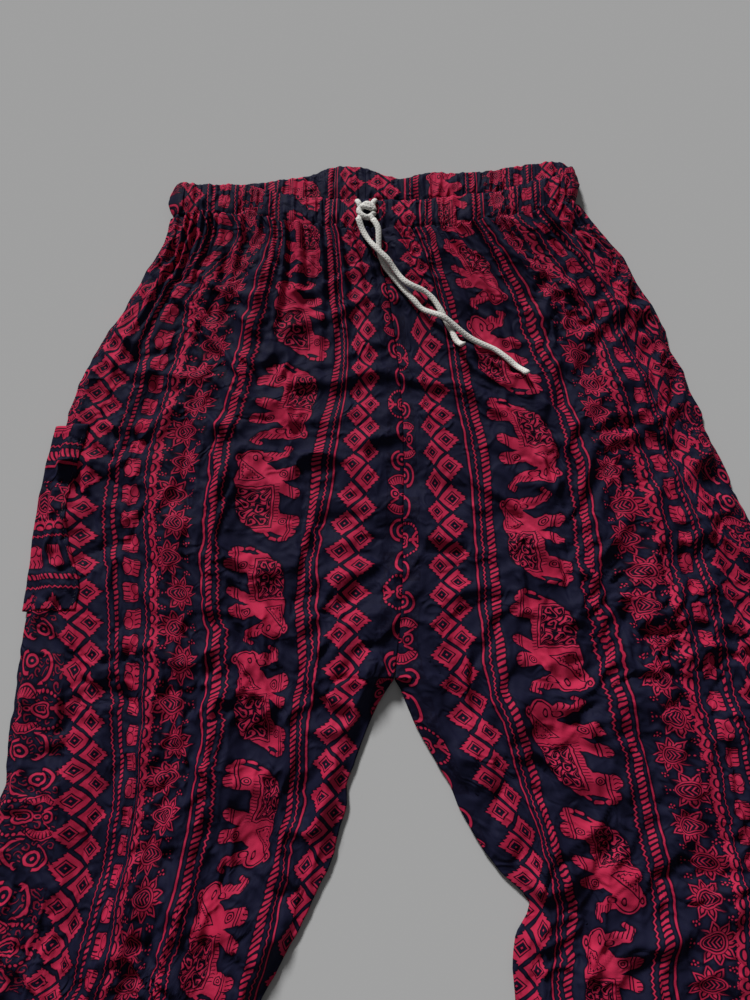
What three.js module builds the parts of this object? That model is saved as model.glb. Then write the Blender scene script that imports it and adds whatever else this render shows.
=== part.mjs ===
// Drawstring trousers of thin printed cloth, laid flat on their back with the legs a little apart.
// Millimetres, +Z up from the surface they lie on, +Y towards the waist, +X towards the wearer's left leg.
// Each leg is a front panel lying on a back panel. A gathered casing runs round the waist, a patch
// pocket wraps the wearer's right side seam, and a knotted drawstring hangs from the casing's front.
import * as THREE from "three";

// Driving dimensions
const CLOTH = 1.2; // wall of one layer of cloth
const LAYER_GAP = 0.5; // between a front panel and the back panel under it
const SEAM_GAP = 0.3; // between pieces that are sewn to each other
const BACK_FOOT_GAP = 0.8; // a back panel's longer straight steps keep this far from the casing
const HEM_EXTRA = 0.7; // the turned hem stands this much above the cloth
const CASING = 3; // waistband wall: two layers of cloth round an elastic
const MOUTH_GAP = 7; // the flat waistband stays this far open
const RUCHE = 0.6; // height of the fine gathers along the waistband
const PUFF = 0.5; // the casing swells this much along its middle
const GATHER = 2; // height of the gathers just below the waistband
const GATHERS_PER_PANEL = 11;
const LIFT_REACH = 60; // over this distance the front settles and the gathers die away
const LIFT_EDGE = 30; // the front rises over this width from the side seam
const SOFT_EDGE = 16; // folds die away over this width at a free edge
const CORD = 4.5; // drawstring diameter
const CORD_CLEAR = 0.7; // the drawstring lies this far above the modelled cloth
const KNOT = { x: -7, y: 411, radius: 8.5, height: 7 };

// Mesh resolution
const FRONT_COLUMNS = 44;
const BACK_COLUMNS = 11;
const BAND_STATIONS = 96;
const ARC_STATIONS = 4;
const POCKET_ROWS = 8;
const CORD_SIDES = 8;
const CORD_STEP = 9; // length of its straight steps

// Waistband, from the wearer's right side to the left. foot and rim are the casing's lower and upper
// edge on the front, and backFoot and backRim those of the back, which lies higher and shows inside.
const WAIST = [
  { x: -172, foot: 408, rim: 439, backFoot: 408, backRim: 439 },
  { x: -144, foot: 407, rim: 437, backFoot: 411, backRim: 444 },
  { x: -107, foot: 404, rim: 436, backFoot: 414, backRim: 445 },
  { x: -78, foot: 399, rim: 428, backFoot: 418, backRim: 450 },
  { x: -52, foot: 395, rim: 424, backFoot: 422, backRim: 455 },
  { x: -34, foot: 394, rim: 423, backFoot: 424, backRim: 463 },
  { x: -8, foot: 393, rim: 422, backFoot: 426, backRim: 461 },
  { x: 20, foot: 393, rim: 422, backFoot: 426, backRim: 451 },
  { x: 45, foot: 394, rim: 423, backFoot: 427, backRim: 457 },
  { x: 74, foot: 397, rim: 427, backFoot: 429, backRim: 457 },
  { x: 104, foot: 403, rim: 431, backFoot: 431, backRim: 460 },
  { x: 137, foot: 410, rim: 441, backFoot: 432, backRim: 466 },
  { x: 158, foot: 417, rim: 448, backFoot: 430, backRim: 468 },
  { x: 172, foot: 422, rim: 459, backFoot: 422, backRim: 460 },
];

// Plan of the wearer's right leg, from the waistband down to the hem. inner runs down the centre seam
// to the crotch and then down the inseam, and outer runs down the side seam.
const RIGHT_LEG = [
  { innerX: -4, innerY: 392, outerX: -170, outerY: 407 },
  { innerX: 6, innerY: 359, outerX: -182, outerY: 366 },
  { innerX: 13, innerY: 320, outerX: -203, outerY: 323 },
  { innerX: 18, innerY: 280, outerX: -226, outerY: 277 },
  { innerX: 21, innerY: 240, outerX: -235, outerY: 238 },
  { innerX: 22, innerY: 195, outerX: -243, outerY: 193 },
  { innerX: 21, innerY: 150, outerX: -246, outerY: 150 },
  { innerX: 20, innerY: 105, outerX: -247, outerY: 105 },
  { innerX: 17.5, innerY: 66, outerX: -250, outerY: 64 },
  { innerX: 13, innerY: 33, outerX: -251, outerY: 28 },
  { innerX: -5, innerY: 3, outerX: -251.5, outerY: -4 },
  { innerX: -19, innerY: -42, outerX: -252, outerY: -46 },
  { innerX: -30, innerY: -84, outerX: -254, outerY: -85 },
  { innerX: -45, innerY: -118, outerX: -256, outerY: -120 },
  { innerX: -72, innerY: -166, outerX: -259, outerY: -161 },
  { innerX: -83, innerY: -210, outerX: -266, outerY: -193 },
  { innerX: -94, innerY: -254, outerX: -274, outerY: -226 },
  { innerX: -118, innerY: -344, outerX: -292, outerY: -308 },
  { innerX: -141, innerY: -436, outerX: -310, outerY: -396 },
  { innerX: -163, innerY: -524, outerX: -329, outerY: -484 },
];

const CROTCH_ROW = 9; // row of both legs where the centre seam ends
const LAST_ROW = RIGHT_LEG.length - 1;
const HEM_ROW = LAST_ROW - 0.25; // the turned hem starts here
const LEFT_LEG = [
  { innerX: -4, innerY: 392, outerX: 171, outerY: 421 },
  { innerX: 6, innerY: 359, outerX: 206, outerY: 366 },
  { innerX: 13, innerY: 320, outerX: 226, outerY: 320 },
  { innerX: 18, innerY: 280, outerX: 239, outerY: 277 },
  { innerX: 21, innerY: 240, outerX: 251, outerY: 240 },
  { innerX: 22, innerY: 195, outerX: 263, outerY: 193 },
  { innerX: 21, innerY: 150, outerX: 279, outerY: 150 },
  { innerX: 20, innerY: 105, outerX: 297, outerY: 108 },
  { innerX: 17.5, innerY: 66, outerX: 307, outerY: 66 },
  { innerX: 14, innerY: 33, outerX: 310, outerY: 28 },
  { innerX: 28, innerY: 3, outerX: 313, outerY: -8 },
  { innerX: 52, innerY: -42, outerX: 321, outerY: -48 },
  { innerX: 77, innerY: -85, outerX: 328, outerY: -85 },
  { innerX: 101, innerY: -109, outerX: 331, outerY: -108 },
  { innerX: 92, innerY: -130, outerX: 333, outerY: -131 },
  { innerX: 88, innerY: -166, outerX: 335, outerY: -160 },
  { innerX: 106, innerY: -250, outerX: 344, outerY: -228 },
  { innerX: 141, innerY: -340, outerX: 355, outerY: -308 },
  { innerX: 177, innerY: -430, outerX: 367, outerY: -392 },
  { innerX: 213, innerY: -519, outerX: 379, outerY: -477 },
];

// The largest folds of each front, each a straight stretch from one point of the plan to another.
// A positive height is a ridge and a negative one a trough, width is half its breadth.
const RIGHT_FOLDS = [
  { fromX: -87, fromY: 372, toX: -110, toY: 225, width: 12, height: 3.2 },
  { fromX: -111, fromY: 205, toX: -116, toY: 70, width: 11, height: 3.6 },
  { fromX: -150, fromY: 372, toX: -190, toY: 250, width: 11, height: -2.4 },
  { fromX: -172, fromY: 352, toX: -206, toY: 262, width: 10, height: 3 },
  { fromX: -103, fromY: 58, toX: -66, toY: 2, width: 10, height: 3.2 },
  { fromX: -110, fromY: 28, toX: -124, toY: -76, width: 12, height: 4.2 },
  { fromX: -124, fromY: -82, toX: -136, toY: -190, width: 13, height: 4.8 },
  { fromX: -157, fromY: 54, toX: -155, toY: -62, width: 10, height: 2.6 },
  { fromX: -156, fromY: -78, toX: -170, toY: -180, width: 11, height: 4.4 },
  { fromX: 4, fromY: 48, toX: -34, toY: 14, width: 8, height: 2.4 },
  { fromX: -22, fromY: -12, toX: -42, toY: -74, width: 9, height: 2.6 },
  { fromX: -60, fromY: -110, toX: -96, toY: -210, width: 11, height: 3.4 },
  { fromX: -210, fromY: -10, toX: -214, toY: -120, width: 12, height: 2.2 },
  { fromX: -150, fromY: -250, toX: -196, toY: -400, width: 15, height: 3.6 },
  { fromX: -216, fromY: -260, toX: -262, toY: -430, width: 14, height: 2.8 },
];

const LEFT_FOLDS = [
  { fromX: 100, fromY: 382, toX: 152, toY: 302, width: 10, height: 3.6 },
  { fromX: 152, fromY: 384, toX: 212, toY: 300, width: 11, height: 3.8 },
  { fromX: 174, fromY: 292, toX: 222, toY: 200, width: 12, height: 3.2 },
  { fromX: 74, fromY: 284, toX: 112, toY: 256, width: 11, height: -2.2 },
  { fromX: 112, fromY: 262, toX: 150, toY: 208, width: 9, height: 3.8 },
  { fromX: 152, fromY: 206, toX: 176, toY: 110, width: 12, height: 2.6 },
  { fromX: 236, fromY: 186, toX: 252, toY: 64, width: 12, height: 3.6 },
  { fromX: 84, fromY: 28, toX: 104, toY: -44, width: 10, height: 3 },
  { fromX: 104, fromY: -46, toX: 122, toY: -100, width: 9, height: 4 },
  { fromX: 196, fromY: 40, toX: 214, toY: -60, width: 11, height: 3.4 },
  { fromX: 150, fromY: -137, toX: 206, toY: -124, width: 8, height: 4.6 },
  { fromX: 206, fromY: -124, toX: 282, toY: -86, width: 9, height: 4.2 },
  { fromX: 98, fromY: -110, toX: 150, toY: -82, width: 8, height: 2.8 },
  { fromX: 26, fromY: 44, toX: 56, toY: 10, width: 8, height: 2.2 },
  { fromX: 262, fromY: 10, toX: 276, toY: -70, width: 13, height: 3 },
  { fromX: 180, fromY: -160, toX: 220, toY: -300, width: 15, height: 4 },
  { fromX: 258, fromY: -190, toX: 296, toY: -380, width: 15, height: 3.2 },
];

// Patch pocket round the right side seam: frontX is its edge on the front, and bulge is how far it
// stands out past the side seam.
const POCKET = [
  { y: 223, frontX: -218, bulge: 6 },
  { y: 208, frontX: -221, bulge: 5.5 },
  { y: 190, frontX: -223, bulge: 5 },
  { y: 165, frontX: -228, bulge: 5 },
  { y: 140, frontX: -225, bulge: 5 },
  { y: 118, frontX: -219, bulge: 4.5 },
  { y: 98, frontX: -212, bulge: 4 },
  { y: 81, frontX: -212, bulge: 3.5 },
];
const POCKET_BACK = 62; // it reaches this far under the back
const POCKET_REST = CLOTH + SEAM_GAP; // the back panel lies on it, this high
const POCKET_RISE = { low: 5, fullLow: 50, fullHigh: 250, high: 295, fullWidth: 100, width: 200 };

// Free ends of the drawstring from the knot down, as points of their middle line over the plan.
// over is how far that point rides above the other end where the two cross.
const SHORT_END = [
  { x: -13.6, y: 398.6, over: 0 },
  { x: -10, y: 388, over: 0 },
  { x: -4, y: 377, over: 3.2 },
  { x: 3, y: 368, over: 5 },
  { x: 10.5, y: 360, over: 5 },
  { x: 17, y: 351, over: 5 },
  { x: 23, y: 343, over: 5 },
  { x: 29.5, y: 338.5, over: 4.4 },
  { x: 39, y: 335, over: 1.6 },
  { x: 46, y: 329, over: 0 },
  { x: 51, y: 321, over: 0 },
  { x: 56, y: 311, over: 0 },
  { x: 60.5, y: 301, over: 0 },
  { x: 64, y: 292, over: 0 },
  { x: 69, y: 286, over: 0 },
];
const LONG_END = [
  { x: -1.4, y: 398.6, over: 0 },
  { x: 2.5, y: 390, over: 0 },
  { x: 3, y: 380, over: 0 },
  { x: 3.5, y: 370, over: 0 },
  { x: 7.5, y: 359, over: 0 },
  { x: 14, y: 349.5, over: 0 },
  { x: 20, y: 341.5, over: 0 },
  { x: 25, y: 335, over: 0 },
  { x: 31, y: 327.5, over: 0 },
  { x: 37, y: 320.5, over: 0 },
  { x: 45, y: 315.5, over: 3 },
  { x: 53, y: 311.5, over: 5 },
  { x: 60, y: 306.5, over: 5 },
  { x: 67, y: 301, over: 3 },
  { x: 75, y: 295.5, over: 0 },
  { x: 84, y: 291, over: 0 },
  { x: 94, y: 286.5, over: 0 },
  { x: 103, y: 279, over: 0 },
  { x: 111, y: 271, over: 0 },
  { x: 118, y: 262.5, over: 0 },
];

// Rows of the legs' tables, and shares between them, at which the panels have a row of corners.
const PANEL_ROWS = [
  0, 0.3, 0.65, 1.1, 1.6, 2.2, 2.9, 3.6, 4.3, 5, 5.8, 6.6, 7.4, 8.2, CROTCH_ROW,
  9.8, 10.6, 11.4, 12.2, 13, 13.5, 14.2, 15, 15.9, 16.9, 17.9, HEM_ROW - 0.04, HEM_ROW, LAST_ROW,
];

const { lerp, smoothstep, clamp } = THREE.MathUtils;
const CASING_TOP = CASING + MOUTH_GAP + CASING;

// Smooth reading of one column of a table whose rows are sorted by another column.
function readColumn(rows, key, name, at) {
  let i = 0;
  const rising = rows[1][key] > rows[0][key];
  while (i < rows.length - 2 && (rising ? at > rows[i + 1][key] : at < rows[i + 1][key])) i += 1;
  const share = clamp((at - rows[i][key]) / (rows[i + 1][key] - rows[i][key]), 0, 1);
  const a = rows[Math.max(i - 1, 0)][name];
  const b = rows[i][name];
  const c = rows[i + 1][name];
  const d = rows[Math.min(i + 2, rows.length - 1)][name];
  const half = share / 2;
  return b + half * (c - a + share * (2 * a - 5 * b + 4 * c - d + share * (3 * (b - c) + d - a)));
}

// A leg's plan: its centre seam, inseam and side seam as smooth curves that are read by row.
function legPlan(rows, side, folds) {
  const curve = (from, to, xName, yName) => {
    const points = rows.slice(from, to + 1).map((row) => new THREE.Vector2(row[xName], row[yName]));
    const spline = new THREE.SplineCurve(points);
    return (row) => spline.getPoint(clamp((row - from) / (to - from), 0, 1));
  };
  const centreSeam = curve(0, CROTCH_ROW, "innerX", "innerY");
  const inseam = curve(CROTCH_ROW, LAST_ROW, "innerX", "innerY");
  return {
    side,
    folds,
    inner: (row) => (row <= CROTCH_ROW ? centreSeam(row) : inseam(row)),
    outer: curve(0, LAST_ROW, "outerX", "outerY"),
  };
}

const RIGHT = legPlan(RIGHT_LEG, -1, RIGHT_FOLDS);
const LEFT = legPlan(LEFT_LEG, 1, LEFT_FOLDS);

// Point of the plan at a across the leg, 0 on the inner edge and 1 on the side, in a row down it.
// Near the top the rows bend to follow the edge of the casing that footName names.
function planPoint(leg, a, row, footName, footGap) {
  const inner = leg.inner(row);
  const outer = leg.outer(row);
  const point = inner.clone().lerp(outer, a);
  point.x += leg.side * SEAM_GAP * 0.5 * (1 - a);
  const top = leg.inner(0).lerp(leg.outer(0), a);
  const fade = Math.max(0, 1 - row / 3) ** 2;
  point.y += fade * (readColumn(WAIST, "x", footName, top.x) - footGap - top.y);
  return { x: point.x, y: point.y, width: inner.distanceTo(outer), a, row };
}

// How much of the front's rise at the waistband is left at this point, 1 at the band and 0 far below.
function bandShare(leg, p) {
  const topX = lerp(leg.inner(0).x, leg.outer(0).x, p.a);
  const below = Math.max(0, readColumn(WAIST, "x", "foot", topX) - p.y);
  return Math.exp(-((below / LIFT_REACH) ** 2));
}

// Height of the back panel's underside: it lies on the floor, on the pocket at the right side, and
// rises to the seam at the ends of the waistband.
function backUnderside(leg, p) {
  const seam = (MOUTH_GAP / 2) * bandShare(leg, p) * (1 - smoothstep((1 - p.a) * p.width, 0, LIFT_EDGE));
  return seam + pocketLift(leg, p);
}

function pocketLift(leg, p) {
  if (leg !== RIGHT) return 0;
  const across = 1 - smoothstep((1 - p.a) * p.width, POCKET_RISE.fullWidth, POCKET_RISE.width);
  const up = smoothstep(p.y, POCKET_RISE.low, POCKET_RISE.fullLow);
  const down = 1 - smoothstep(p.y, POCKET_RISE.fullHigh, POCKET_RISE.high);
  return POCKET_REST * across * up * down;
}

function foldHeight(fold, p) {
  const dx = fold.toX - fold.fromX;
  const dy = fold.toY - fold.fromY;
  const along = ((p.x - fold.fromX) * dx + (p.y - fold.fromY) * dy) / (dx * dx + dy * dy);
  const end = Math.min(smoothstep(along, -0.12, 0.25), 1 - smoothstep(along, 0.75, 1.12));
  const off = Math.abs((p.x - fold.fromX) * dy - (p.y - fold.fromY) * dx) / Math.hypot(dx, dy);
  return fold.height * end * Math.exp(-((off / fold.width) ** 2));
}

// Gathers run down from the casing, unevenly spaced, and die away.
function gatherHeight(leg, p) {
  const drift = 0.16 * Math.sin(9 * p.a + leg.side) + 0.1 * Math.sin(23 * p.a + 2);
  const wave = 0.5 + 0.5 * Math.cos(2 * Math.PI * (GATHERS_PER_PANEL * p.a + drift));
  const uneven = 0.75 + 0.25 * Math.sin(31 * p.a + 4 * leg.side);
  return GATHER * wave * uneven * bandShare(leg, p);
}

// Height of the front panel's underside above the floor.
function frontUnderside(leg, p) {
  const fromSide = (1 - p.a) * p.width;
  const fromInner = p.a * p.width;
  const side = smoothstep(fromSide, 0, SOFT_EDGE);
  const inner = smoothstep(fromInner, p.row > CROTCH_ROW ? 0 : -4, SOFT_EDGE);
  const rise = (CASING + MOUTH_GAP - CLOTH - LAYER_GAP) * smoothstep(fromSide, 0, LIFT_EDGE);
  const lift = rise * bandShare(leg, p);
  const folds = leg.folds.reduce((sum, fold) => sum + foldHeight(fold, p), 0);
  const relief = side * inner * (Math.max(folds, 0) + gatherHeight(leg, p));
  const dip = Math.max(side * inner * Math.min(folds, 0), -0.8 * lift);
  return backUnderside(leg, p) + CLOTH + LAYER_GAP + lift + relief + dip;
}

const frontTop = (leg, p) => frontUnderside(leg, p) + CLOTH;

// A closed body from a panel's grid of points with an upper and a lower height each.
function sheetBody(columns, pointAt, upperAt, lowerAt) {
  const positions = [];
  const faces = [];
  const rows = PANEL_ROWS.length - 1;
  for (const heightAt of [upperAt, lowerAt]) {
    for (const row of PANEL_ROWS) {
      for (let i = 0; i <= columns; i += 1) {
        const p = pointAt(i / columns, row);
        positions.push(p.x, p.y, heightAt(p));
      }
    }
  }
  const layer = (columns + 1) * (rows + 1);
  const at = (i, j, k) => k * layer + j * (columns + 1) + i;
  const quad = (a, b, c, d) => faces.push(a, b, c, a, c, d);
  for (let j = 0; j < rows; j += 1) {
    for (let i = 0; i < columns; i += 1) {
      quad(at(i, j, 0), at(i, j + 1, 0), at(i + 1, j + 1, 0), at(i + 1, j, 0));
      quad(at(i, j, 1), at(i + 1, j, 1), at(i + 1, j + 1, 1), at(i, j + 1, 1));
    }
  }
  for (let i = 0; i < columns; i += 1) {
    quad(at(i, 0, 0), at(i + 1, 0, 0), at(i + 1, 0, 1), at(i, 0, 1));
    quad(at(i, rows, 1), at(i + 1, rows, 1), at(i + 1, rows, 0), at(i, rows, 0));
  }
  for (let j = 0; j < rows; j += 1) {
    quad(at(0, j, 1), at(0, j + 1, 1), at(0, j + 1, 0), at(0, j, 0));
    quad(at(columns, j, 0), at(columns, j + 1, 0), at(columns, j + 1, 1), at(columns, j, 1));
  }
  return facing(positions, faces);
}

// A closed body from a row of closed loops of points, with its two ends capped.
function loopBody(loops) {
  const count = loops[0].length;
  const positions = loops.flat().flatMap((p) => [p.x, p.y, p.z]);
  const faces = [];
  for (let i = 0; i + 1 < loops.length; i += 1) {
    for (let k = 0; k < count; k += 1) {
      const a = i * count + k;
      const b = i * count + ((k + 1) % count);
      faces.push(a, b, b + count, a, b + count, a + count);
    }
  }
  const last = (loops.length - 1) * count;
  const flat = loops[0].map((p) => new THREE.Vector2(p.u, p.v));
  const clockwise = THREE.ShapeUtils.isClockWise(flat);
  for (const [a, b, c] of THREE.ShapeUtils.triangulateShape(flat, [])) {
    const [second, third] = clockwise ? [c, b] : [b, c];
    faces.push(a, third, second);
    faces.push(last + a, last + second, last + third);
  }
  return facing(positions, faces);
}

// Geometry from points and faces, turned so that the faces point out.
function facing(positions, faces) {
  let volume = 0;
  const corner = (i) => new THREE.Vector3(...positions.slice(3 * i, 3 * i + 3));
  for (let i = 0; i < faces.length; i += 3) {
    volume += corner(faces[i]).dot(corner(faces[i + 1]).cross(corner(faces[i + 2])));
  }
  const geometry = new THREE.BufferGeometry();
  geometry.setAttribute("position", new THREE.Float32BufferAttribute(positions, 3));
  geometry.setIndex(volume > 0 ? faces : faces.reverse());
  geometry.computeVertexNormals();
  return geometry;
}

// The last row of a front is its turned hem, which stands proud of the cloth.
function frontPanel(leg) {
  return sheetBody(
    FRONT_COLUMNS,
    (a, row) => planPoint(leg, a, row, "foot", SEAM_GAP),
    (p) => frontTop(leg, p) + (p.row >= HEM_ROW ? HEM_EXTRA : 0),
    (p) => frontUnderside(leg, p),
  );
}

function backPanel(leg) {
  return sheetBody(
    BACK_COLUMNS,
    (a, row) => planPoint(leg, a, row, "backFoot", BACK_FOOT_GAP),
    (p) => backUnderside(leg, p) + CLOTH,
    (p) => backUnderside(leg, p),
  );
}

// The middle line of half the flattened waistband: front is its upper half and back its lower half,
// with a quarter turn at each side seam.
function bandLine(isFront) {
  const turn = (CASING + MOUTH_GAP) / 2;
  const middle = CASING_TOP / 2;
  const up = isFront ? 1 : -1;
  const left = WAIST[0].x + CASING / 2;
  const right = WAIST[WAIST.length - 1].x - CASING / 2;
  const line = [];
  const arc = (centre, side, angle) =>
    line.push({
      x: centre + side * turn * Math.cos(angle),
      z: middle + up * (turn * Math.sin(angle) + SEAM_GAP / 2),
      nx: side * Math.cos(angle),
      nz: up * Math.sin(angle),
      ruche: 0,
    });
  for (let i = 0; i < ARC_STATIONS; i += 1) {
    arc(left + turn, -1, (i / ARC_STATIONS) * (Math.PI / 2));
  }
  for (let i = 0; i <= BAND_STATIONS; i += 1) {
    const share = i / BAND_STATIONS;
    const uneven = 0.75 + 0.25 * Math.sin(1.7 * i + (isFront ? 0 : 2));
    line.push({
      x: lerp(left + turn, right - turn, share),
      z: middle + up * (turn + SEAM_GAP / 2),
      nx: 0,
      nz: up,
      ruche: i % 2 ? RUCHE * uneven : 0,
    });
  }
  for (let i = ARC_STATIONS - 1; i >= 0; i -= 1) {
    arc(right - turn, 1, (i / ARC_STATIONS) * (Math.PI / 2));
  }
  return line;
}

// Half of the casing. The front is ruched on its outer face. The back is ruched on its inner face,
// which shows above the front, and lies flat on the floor.
function waistband(isFront) {
  const footName = isFront ? "foot" : "backFoot";
  const rimName = isFront ? "rim" : "backRim";
  const loops = bandLine(isFront).map((s) => {
    const foot = readColumn(WAIST, "x", footName, s.x);
    const rim = readColumn(WAIST, "x", rimName, s.x);
    const middle = (foot + rim) / 2;
    const shown = (isFront ? 1 : -1) * (CASING / 2 + s.ruche);
    const plain = (isFront ? -1 : 1) * (CASING / 2);
    const puffed = shown + Math.sign(shown) * PUFF;
    const point = (y, out) => ({ x: s.x + s.nx * out, y, z: s.z + s.nz * out, u: y, v: out });
    return [
      point(foot, plain),
      point(foot, shown),
      point(middle, puffed),
      point(rim - 1, shown),
      point(rim, (shown + plain) / 2),
      point(rim - 1, plain),
    ];
  });
  return loopBody(loops);
}

// Row of a leg at which one of its edges reaches the height y.
function rowAtHeight(edge, y) {
  let low = 0;
  let high = LAST_ROW;
  for (let i = 0; i < 30; i += 1) {
    const middle = (low + high) / 2;
    if (edge(middle).y > y) low = middle;
    else high = middle;
  }
  return low;
}

// A point over a leg's plan, given by its place in the frame instead of by its row.
function levelPoint(leg, x, y) {
  const row = rowAtHeight(leg.outer, y);
  const inner = leg.inner(rowAtHeight(leg.inner, y));
  const outer = leg.outer(row);
  const a = clamp((x - inner.x) / (outer.x - inner.x), 0, 1);
  return { x, y, a, row, width: Math.abs(outer.x - inner.x) };
}

// The pocket's cloth at one height of the plan: over the front panel, round the side seam, and under
// the back panel.
function pocketLoop(y) {
  const outer = RIGHT.outer(rowAtHeight(RIGHT.outer, y));
  const bulge = readColumn(POCKET, "y", "bulge", y);
  const frontX = readColumn(POCKET, "y", "frontX", y);
  const onFront = (x) => frontTop(RIGHT, levelPoint(RIGHT, x, y)) + LAYER_GAP + CLOTH / 2;
  const under = CLOTH / 2;
  const top = onFront(outer.x + 2);
  const middle = [];
  for (const share of [0, 0.25, 0.5, 0.75, 1]) {
    const x = lerp(frontX, outer.x + 2, share);
    middle.push([x, Math.max(onFront(x), top)]);
  }
  const half = (top - under) / 2;
  for (const angle of [60, 30, 0, -30, -60]) {
    const turn = THREE.MathUtils.degToRad(angle);
    middle.push([outer.x - CLOTH - bulge * Math.cos(turn) + CLOTH / 2, under + half + half * Math.sin(turn)]);
  }
  middle.push([outer.x + 2, under], [outer.x + POCKET_BACK, under]);
  const outside = [];
  const inside = [];
  middle.forEach(([x, z], i) => {
    const [bx, bz] = middle[Math.max(i - 1, 0)];
    const [cx, cz] = middle[Math.min(i + 1, middle.length - 1)];
    const length = Math.hypot(cx - bx, cz - bz);
    const nx = (cz - bz) / length;
    const nz = -(cx - bx) / length;
    outside.push({ x: x + (nx * CLOTH) / 2, y, z: Math.max(0, z + (nz * CLOTH) / 2) });
    inside.unshift({ x: x - (nx * CLOTH) / 2, y, z: z - (nz * CLOTH) / 2 });
  });
  return [...outside, ...inside].map((p) => ({ ...p, u: p.x, v: p.z }));
}

function pocket() {
  const highest = POCKET[0].y;
  const lowest = POCKET[POCKET.length - 1].y;
  const loops = [];
  for (let i = 0; i <= POCKET_ROWS; i += 1) loops.push(pocketLoop(lerp(highest, lowest, i / POCKET_ROWS)));
  return loopBody(loops);
}

// Highest cloth within a cord's half width of a point of the plan, waistband included.
function clothUnder(x, y) {
  let highest = 0;
  for (const [dx, dy] of [[0, 0], [1, 0], [-1, 0], [0, 1], [0, -1]]) {
    const px = x + (dx * CORD) / 2;
    const py = y + (dy * CORD) / 2;
    if (py > readColumn(WAIST, "x", "foot", px) - 2) highest = Math.max(highest, CASING_TOP + PUFF + RUCHE);
    const leg = px > LEFT.inner(rowAtHeight(LEFT.inner, py)).x ? LEFT : RIGHT;
    highest = Math.max(highest, frontTop(leg, levelPoint(leg, px, py)));
  }
  return highest;
}

// A drawstring end: a tube along its points, which rides on the cloth and over the other end.
function drawstringEnd(points) {
  const plan = new THREE.CatmullRomCurve3(points.map((p) => new THREE.Vector3(p.x, p.y, p.over)));
  const stations = plan.getSpacedPoints(Math.round(plan.getLength() / CORD_STEP));
  const cloth = stations.map((p) => clothUnder(p.x, p.y));
  const seats = stations.map((p, i) => {
    const highest = Math.max(...cloth.slice(Math.max(i - 1, 0), i + 2));
    return new THREE.Vector3(p.x, p.y, highest + CORD_CLEAR + CORD / 2 + p.z);
  });
  const route = new THREE.CatmullRomCurve3(seats);
  const section = new THREE.Shape();
  for (let i = 0; i < CORD_SIDES; i += 1) {
    const turn = (2 * Math.PI * i) / CORD_SIDES;
    const [x, y] = [(CORD / 2) * Math.cos(turn), (CORD / 2) * Math.sin(turn)];
    if (i) section.lineTo(x, y);
    else section.moveTo(x, y);
  }
  section.closePath();
  const steps = stations.length - 1;
  return new THREE.ExtrudeGeometry(section, { steps, extrudePath: route, curveSegments: 1 });
}

// The knot lies on the casing over the two buttonholes that the drawstring comes out of.
function knot() {
  const half = KNOT.height / 2;
  const profile = [0, 20, 45, 70, 110, 135, 160, 180].map((degrees) => {
    const turn = THREE.MathUtils.degToRad(degrees);
    return new THREE.Vector2(KNOT.radius * Math.sin(turn), -half * Math.cos(turn));
  });
  profile[0].x = 0;
  profile[profile.length - 1].x = 0;
  return new THREE.LatheGeometry(profile, 16);
}

const printedCloth = new THREE.MeshStandardMaterial({ color: 0x8a1230, roughness: 0.85, metalness: 0 });
const casingCloth = new THREE.MeshStandardMaterial({ color: 0x2a2c4a, roughness: 0.85, metalness: 0 });
const cordCotton = new THREE.MeshStandardMaterial({ color: 0xd8d8d2, roughness: 0.9, metalness: 0 });

function piece(name, geometry, material) {
  const mesh = new THREE.Mesh(geometry, material);
  mesh.name = name;
  return mesh;
}

const knotPiece = piece("drawstring_knot", knot(), cordCotton);
knotPiece.rotation.x = Math.PI / 2;
knotPiece.position.set(KNOT.x, KNOT.y, CASING_TOP + PUFF + RUCHE + SEAM_GAP + KNOT.height / 2);

const garment = new THREE.Group();
garment.add(
  piece("back_right", backPanel(RIGHT), printedCloth),
  piece("back_left", backPanel(LEFT), printedCloth),
  piece("front_right", frontPanel(RIGHT), printedCloth),
  piece("front_left", frontPanel(LEFT), printedCloth),
  piece("waistband_back", waistband(false), casingCloth),
  piece("waistband_front", waistband(true), casingCloth),
  piece("pocket_right", pocket(), printedCloth),
);

// The origin is the middle of the garment's underside.
const extent = new THREE.Box3().setFromObject(garment, true);
const centre = extent.getCenter(new THREE.Vector3());
garment.position.set(-centre.x, -centre.y, -extent.min.z);
garment.add(
  knotPiece,
  piece("drawstring_short", drawstringEnd(SHORT_END), cordCotton),
  piece("drawstring_long", drawstringEnd(LONG_END), cordCotton),
);

export default garment;
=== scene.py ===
import math

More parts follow.
